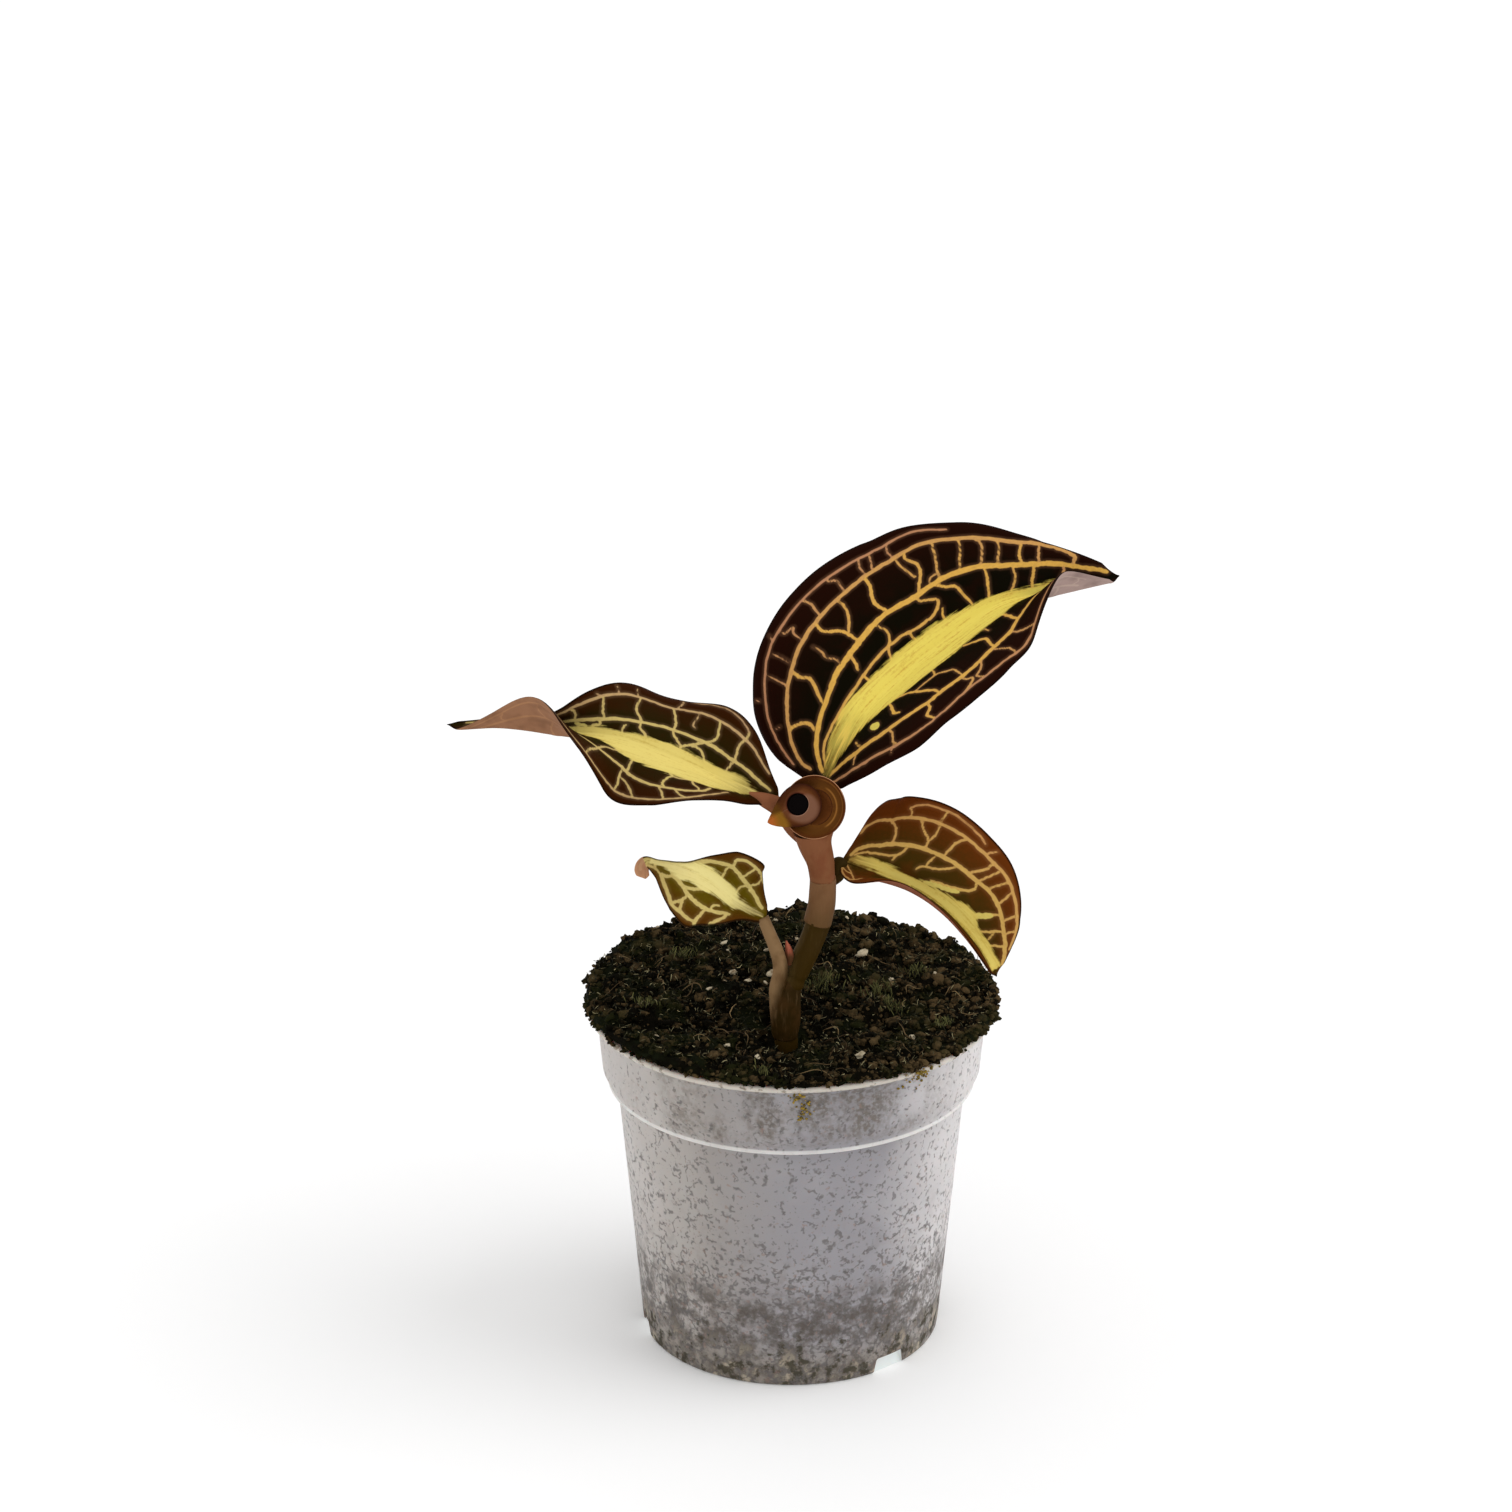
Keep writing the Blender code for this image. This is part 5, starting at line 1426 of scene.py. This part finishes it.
class ORCHID_OT_soil(bpy.types.Operator):
    """Fills the pot with soil and gives its surface a rough relief"""
    bl_idname = "orchid.soil"
    bl_label = "Soil"

    def execute(self, context):
        look = context.scene.orchid_soil
        low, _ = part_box("soil")
        floor = low.z / MM
        inset = POT_WALL + SOIL_GAP
        foot = wall_radius(floor) - inset
        side = (
            (0, floor),
            (foot - SOIL_CHAMFER, floor),
            (foot, floor + SOIL_CHAMFER),
            *[(wall_radius(height) - inset, height) for height in SOIL_WALL_HEIGHTS],
            *SOIL_COLLAR,
        )
        turn = np.linspace(0, math.tau, SOIL_SIDES + 1)
        circle = np.stack([np.cos(turn), np.sin(turn), 0 * turn], axis=-1)
        rows = [circle * radius + np.array((0, 0, height)) for radius, height in side]
        for step in range(SOIL_RINGS + 1):
            row = circle * (SOIL_EDGE_RADIUS * (1 - step / SOIL_RINGS))
            height = soil_height(row[:, 0], row[:, 1])
            bumps = [noise.fractal(Vector(point) * BUMP_PITCH, 1.0, 2.0, 4) for point in row]
            row[:, 2] = height + BUMP_HEIGHT * np.array(bumps) - BUMP_SINK
            if step == 0:
                row[:, 2] = SOIL_EDGE_LEVEL
            row[-1] = row[0]
            rows.append(row)
        finish = soil_finish("soil_bed", tuple(look.peat), colour(30, 24, 15), colour(22, 26, 12),
                             colour(70, 62, 44))
        bed = finished("soil_bed", skin(np.stack(rows)), finish)
        draw = random.Random(SOIL_SEED + 2)
        set_tone(bed, [draw.random() * 0.4 for _ in bed.data.vertices])
        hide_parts("soil")
        return {"FINISHED"}


class ORCHID_OT_crumbs(bpy.types.Operator):
    """Strews crumbs, grains and pale flakes over the soil"""
    bl_idname = "orchid.crumbs"
    bl_label = "Crumbs"

    def execute(self, context):
        look = context.scene.orchid_soil
        draw = random.Random(SOIL_SEED + 3)
        finish = soil_finish("soil_crumb", tuple(look.peat), colour(86, 70, 46), colour(34, 36, 15),
                             colour(104, 90, 62))

        def spot(edge):
            while True:
                x, y = on_disc(draw, edge)
                if clear_of_stem(x, y, CRUMB_CLEARANCE):
                    return x, y, float(soil_height(x, y))

        kinds = (
            ("soil_crumbs", look.crumbs, (0.42, 0.95), 2, 0.9),
            ("soil_grains", look.grains, (0.24, 0.56), 1, 0.7),
        )
        for name, count, sizes, detail, roughness in kinds:
            heap = Heap()
            for _ in range(count):
                x, y, height = spot(SOIL_EDGE_RADIUS - 0.3)
                size = draw.uniform(*sizes) ** 1.6
                place = (x, y, height + size * draw.uniform(-0.6, 0.1))
                heap.add(lump(draw, place, size, detail, roughness, 0.75), draw.random())
            heap.finish(name, finish)

        heap = Heap()

        def spill(place, size, detail, roughness):
            heap.add(lump(draw, place, size, detail, roughness, 0.8), draw.random())

        for _ in range(look.spilled):
            turn = math.radians(draw.choice(SPILL_ANGLES) + draw.gauss(0, SPILL_SPREAD))
            reach = draw.uniform(*SPILL_RADII)
            size = draw.uniform(0.16, 0.5)
            spill(polar(reach, turn, POT_HEIGHT + draw.uniform(-0.1, 0.5)), size, 1, 0.7)
        for _ in range(look.spilled * 4):
            turn = draw.uniform(0, math.tau)
            reach = draw.uniform(*EDGE_RADII)
            spill(polar(reach, turn, POT_HEIGHT + draw.uniform(0.2, 1.1)), draw.uniform(0.25, 0.6), 1, 0.8)
        for angle, size, count in LIP_CLUMPS:
            for _ in range(count):
                turn = math.radians(angle + draw.gauss(0, 2.2))
                reach = draw.uniform(*CLUMP_RADII)
                place = polar(reach, turn, POT_HEIGHT + 0.6 + draw.random() * size)
                spill(place, size * draw.uniform(0.5, 0.9), 2, 0.9)
        heap.finish("soil_spilled", finish)

        heap = Heap()
        for _ in range(look.flakes):
            x, y, height = spot(SOIL_EDGE_RADIUS - 2)
            size = draw.uniform(0.25, 0.5)
            heap.add(lump(draw, (x, y, height + 0.4), size, 2, 0.7, 0.45), draw.random())
        for x, y, size in LARGE_FLAKES:
            place = (x, y, float(soil_height(x, y)) + 0.9)
            heap.add(lump(draw, place, size, 2, 0.7, 0.45), draw.random())
        heap.finish("soil_flakes", flake_finish())
        return {"FINISHED"}


class ORCHID_OT_fibres(bpy.types.Operator):
    """Lays plant fibres and rootlets on the soil"""
    bl_idname = "orchid.fibres"
    bl_label = "Fibres"

    def execute(self, context):
        look = context.scene.orchid_soil
        draw = random.Random(SOIL_SEED + 4)
        heap = Heap()
        for _ in range(look.fibres):
            x, y = on_disc(draw, SOIL_EDGE_RADIUS - 2)
            heading = draw.uniform(0, math.tau)
            length = draw.uniform(0.5, 1.5)
            points = []
            for step in range(5):
                lift = 0.25 + draw.uniform(0.0, 0.45) * math.sin(math.pi * step / 4)
                points.append((x, y, float(soil_height(x, y)) + lift))
                heading += draw.uniform(-0.8, 0.8)
                x += length * math.cos(heading)
                y += length * math.sin(heading)
                if not on_soil(x, y, 0.6):
                    break
            if len(points) > 2:
                heap.add(strand(points, draw.uniform(0.04, 0.11), 5), draw.random() ** 3)
        heap.finish("soil_fibres", fibre_finish("fibre", colour(150, 126, 88), colour(52, 38, 22)))

        heap = Heap()
        for _ in range(look.fuzz):
            x, y = on_disc(draw, SOIL_EDGE_RADIUS - 0.4)
            at_rear_rim = y > 12 and math.hypot(x, y) > 24
            if at_rear_rim or not clear_of_stem(x, y, FUZZ_CLEARANCE):
                continue
            foot = Vector((x, y, float(soil_height(x, y)) + draw.uniform(0.1, 0.6)))
            way = Vector((draw.gauss(0, 1), draw.gauss(0, 1), abs(draw.gauss(0.4, 0.7)))).normalized()
            bend = Vector((draw.gauss(0, 1), draw.gauss(0, 1), draw.gauss(0, 1))) * 0.3
            length = draw.uniform(0.4, 1.1)
            points = [foot, foot + (way + bend) * length * 0.5, foot + way * length]
            heap.add(strand(points, draw.uniform(0.04, 0.085), 3, 0.2), draw.random() ** 6)
        heap.finish("soil_fuzz", fibre_finish("fuzz", colour(172, 162, 122), colour(24, 24, 10)))
        return {"FINISHED"}


class ORCHID_OT_moss(bpy.types.Operator):
    """Grows small moss tufts on the soil and on the pot's lip"""
    bl_idname = "orchid.moss"
    bl_label = "Moss"

    def execute(self, context):
        draw = random.Random(SOIL_SEED + 5)
        heap = Heap()
        for centre_x, centre_y, spread, length in MOSS_TUFTS:
            for _ in range(int(26 * spread)):
                x, y = draw.gauss(centre_x, spread * 0.45), draw.gauss(centre_y, spread * 0.45)
                if not on_soil(x, y, 0.5):
                    continue
                foot = float(soil_height(x, y)) + 0.2
                lean, tip = draw.uniform(0, math.tau), length * draw.uniform(0.5, 1.0)
                side = tip * draw.uniform(0.2, 0.8)
                points = [(x + side * share * math.cos(lean), y + side * share * math.sin(lean),
                           foot + tip * share ** 0.8) for share in (0, 0.5, 1)]
                heap.add(strand(points, draw.uniform(0.04, 0.09), 4, 0.1), draw.random())
        heap.finish("moss_tufts", fibre_finish("moss", colour(112, 110, 66), colour(36, 40, 18)))

        heap = Heap()
        collar_radius, collar_top = COLLAR[3]
        for angle, height, spread, count in LIP_MOSS:
            for _ in range(count):
                turn = math.radians(angle + draw.gauss(0, spread * 0.9))
                z = height + draw.gauss(0, spread * 0.42)
                if not 44 < z < POT_HEIGHT + 0.4:
                    continue
                radius = LIP_RADIUS + 0.02 if z > LIP_LOW else collar_radius - 0.1 * (collar_top - z)
                size = draw.uniform(0.10, 0.26)
                place = polar(radius, turn, min(z, POT_HEIGHT + 0.1))
                heap.add(lump(draw, place, size, 1, 0.6, 0.9), draw.random())
        heap.finish("lip_moss", fibre_finish("lip_moss", colour(168, 140, 60), colour(92, 78, 36)))
        return {"FINISHED"}


class ORCHID_OT_stem(bpy.types.Operator):
    """Grows the stem, the sheaths that clasp it and the leaf stalks"""
    bl_idname = "orchid.stem"
    bl_label = "Stem"

    def execute(self, context):
        look = context.scene.orchid_stem
        # The slant paints the stem's right side darker as painted shade and its left paler as painted light
        bark = stalk_finish("stem_skin", 61, 68, tuple(look.shade), tuple(look.light),
                            colour(56, 40, 14), 4.0)
        stem = make_tube("stem_skin", STEM_PATH, bark, 220, 48, stem_swelling)
        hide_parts("stem")

        rosy = stalk_finish("left_stalk", 78, 90, colour(122, 78, 50), colour(134, 84, 56),
                            colour(108, 54, 32))
        tan = stalk_finish("right_stalk", 71, 77.6, colour(96, 70, 42), colour(118, 84, 56),
                           colour(96, 64, 38))
        olive = stalk_finish("right_stalk_top", 75, 78, colour(70, 48, 18), colour(52, 38, 10),
                             colour(60, 34, 14))
        fawn = stalk_finish("lower_stalk", 66, 73, colour(46, 32, 9), colour(132, 104, 72),
                            colour(76, 50, 24), 4.0)
        plan = (
            ("leaf_left", LEFT_SHEATH, rosy, LEFT_STALK, rosy, 50),
            ("leaf_right", RIGHT_SHEATH, tan, RIGHT_STALK, olive, 40),
            ("leaf_lower", LOWER_SHEATH, fawn, LOWER_STALK, fawn, 50),
        )
        for node, sheath, sheath_finish, path, path_finish, count in plan:
            sleeve = make_sheath(node + "_sheath", sheath, sheath_finish)
            stalk = make_tube(node + "_stalk", path, path_finish, count, 24)
            for piece in (sleeve, stalk):
                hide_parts(node)
                node + "_skin"
        return {"FINISHED"}


class ORCHID_OT_leaves(bpy.types.Operator):
    """Grows the four blades with their vein nets"""
    bl_idname = "orchid.leaves"
    bl_label = "Leaves"

    def execute(self, context):
        plan = (
            ("leaf_top", LEAF_TOP, TOP_VEINS, TOP_BAND, TOP_COLOURS, (200, 76)),
            ("leaf_left", LEAF_LEFT, LEFT_VEINS, LEFT_BAND, LEFT_COLOURS, (210, 50)),
            ("leaf_right", LEAF_RIGHT, RIGHT_VEINS, RIGHT_BAND, RIGHT_COLOURS, (160, 54)),
            ("leaf_lower", LEAF_LOWER, LOWER_VEINS, LOWER_BAND, LOWER_COLOURS, (140, 44)),
        )
        for node, leaf, veins, band, colours, detail in plan:
            finish = leaf_finish(node + "_skin", colours)
            blade = make_blade(node + "_blade", leaf, veins, band, finish, detail)
            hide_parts(node)
            node + "_skin"
        return {"FINISHED"}


class ORCHID_OT_crown(bpy.types.Operator):
    """Grows the crown's cup and the rolled young leaf in it"""
    bl_idname = "orchid.crown"
    bl_label = "Crown"

    def execute(self, context):
        tan, ochre, rust = colour(120, 80, 40), colour(132, 90, 24), colour(172, 92, 36)
        finish = crown_finish("hood", HOOD_STOPS, HOOD_ARCS, tan, tan, 1.1)
        points, layer = crown_points(HOOD_PROFILE, 84)
        hood = finished("crown_hood", skin(points, (("ring", layer),)), finish)
        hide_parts("leaf_top")

        # The rolled leaf turns near black past 0.755 on its profile, as painted shade in its hole
        finish = crown_finish("rolled_leaf", ROLL_STOPS, ROLL_ARCS, ochre, rust, 0.755)
        points, layer = crown_points(ROLL_PROFILE, 96, FIN_LENGTH)
        young = finished("rolled_leaf", skin(points, (("ring", layer),)), finish)
        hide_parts("young_leaf")
        return {"FINISHED"}


class ORCHID_OT_bud(bpy.types.Operator):
    """Grows the small side bud"""
    bl_idname = "orchid.bud"
    bl_label = "Side bud"

    def execute(self, context):
        pink = stalk_finish("side_bud", 66.4, 68.2, colour(84, 54, 32), colour(168, 94, 72),
                            colour(130, 60, 44))
        bud = make_tube("side_bud_skin", BUD_PATH, pink, 24, 20)
        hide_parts("side_bud")
        return {"FINISHED"}


class ORCHID_OT_stage(bpy.types.Operator):
    """Sets the floor, the soft lights and the camera"""
    bl_idname = "orchid.stage"
    bl_label = "Stage"

    def execute(self, context):
        scene = context.scene
        look = scene.orchid_stage
        bm = bmesh.new()
        bmesh.ops.create_grid(bm, x_segments=1, y_segments=1, size=FLOOR_HALF)
        mesh = bpy.data.meshes.new("floor")
        bm.to_mesh(mesh)
        bm.free()
        pale = Paint("floor", base_color=(0.99, 0.99, 0.99, 1), roughness=1.0, specular_ior_level=0.0)
        mesh.materials.append(pale.material)
        floor = bpy.data.objects.new("floor", mesh)
        scene.collection.objects.link(floor)

        suns = (("key", (0.72, -0.06, 0.80), look.key, 46), ("rim", (-0.75, 0.45, 0.75), look.rim, 70))
        for name, towards, strength, spread in suns:
            light = bpy.data.lights.new(name, "SUN")
            light.energy = strength
            light.angle = math.radians(spread)
            lamp = bpy.data.objects.new(name, light)
            lamp.rotation_euler = Vector(towards).to_track_quat("Z", "Y").to_euler()
            scene.collection.objects.link(lamp)
        world = bpy.data.worlds.new("studio")
        world.use_nodes = True
        background = world.node_tree.nodes["Background"]
        background.inputs["Color"].default_value = (1, 1, 1, 1)
        background.inputs["Strength"].default_value = look.room
        scene.world = world
        scene.view_settings.view_transform = "Standard"

        lens = bpy.data.cameras.new("camera")
        lens.lens = look.lens
        lens.sensor_width = 36
        lens.clip_start = 0.01
        camera = bpy.data.objects.new("camera", lens)
        back = Vector((0, -math.cos(look.pitch), math.sin(look.pitch)))
        camera.location = (Vector(CAMERA_AIM) + back * look.distance) * MM
        camera.rotation_euler = (math.pi / 2 - look.pitch, 0, 0)
        scene.collection.objects.link(camera)
        scene.camera = camera
        return {"FINISHED"}


class ORCHID_PT_panel(bpy.types.Panel):
    """The orchid's pieces and their settings"""
    bl_idname = "ORCHID_PT_panel"
    bl_label = "Potted Jewel Orchid"
    bl_space_type = "VIEW_3D"
    bl_region_type = "UI"
    bl_category = "Orchid"

    def draw(self, context):
        for name, settings in SETTINGS.items():
            box = self.layout.box()
            for prop in settings.__annotations__:
                box.prop(getattr(context.scene, name), prop)
        for operator in OPERATORS:
            self.layout.operator(operator.bl_idname)


SETTINGS = {
    "orchid_pot": PotSettings,
    "orchid_soil": SoilSettings,
    "orchid_leaves": LeafSettings,
    "orchid_stem": StemSettings,
    "orchid_stage": StageSettings,
}
OPERATORS = (
    ORCHID_OT_pot,
    ORCHID_OT_soil,
    ORCHID_OT_crumbs,
    ORCHID_OT_fibres,
    ORCHID_OT_moss,
    ORCHID_OT_stem,
    ORCHID_OT_leaves,
    ORCHID_OT_crown,
    ORCHID_OT_bud,
    ORCHID_OT_stage,
)


def register():
    for name, settings in SETTINGS.items():
        bpy.utils.register_class(settings)
        setattr(bpy.types.Scene, name, bpy.props.PointerProperty(type=settings))
    for operator in OPERATORS:
        bpy.utils.register_class(operator)
    bpy.utils.register_class(ORCHID_PT_panel)


def unregister():
    bpy.utils.unregister_class(ORCHID_PT_panel)
    for operator in reversed(OPERATORS):
        bpy.utils.unregister_class(operator)
    for name, settings in SETTINGS.items():
        delattr(bpy.types.Scene, name)
        bpy.utils.unregister_class(settings)


def main():
    register()
    bpy.ops.orchid.pot()
    bpy.ops.orchid.soil()
    bpy.ops.orchid.crumbs()
    bpy.ops.orchid.fibres()
    bpy.ops.orchid.moss()
    bpy.ops.orchid.stem()
    bpy.ops.orchid.leaves()
    bpy.ops.orchid.crown()
    bpy.ops.orchid.bud()
    bpy.ops.orchid.stage()


if __name__ == "__main__":
    main()
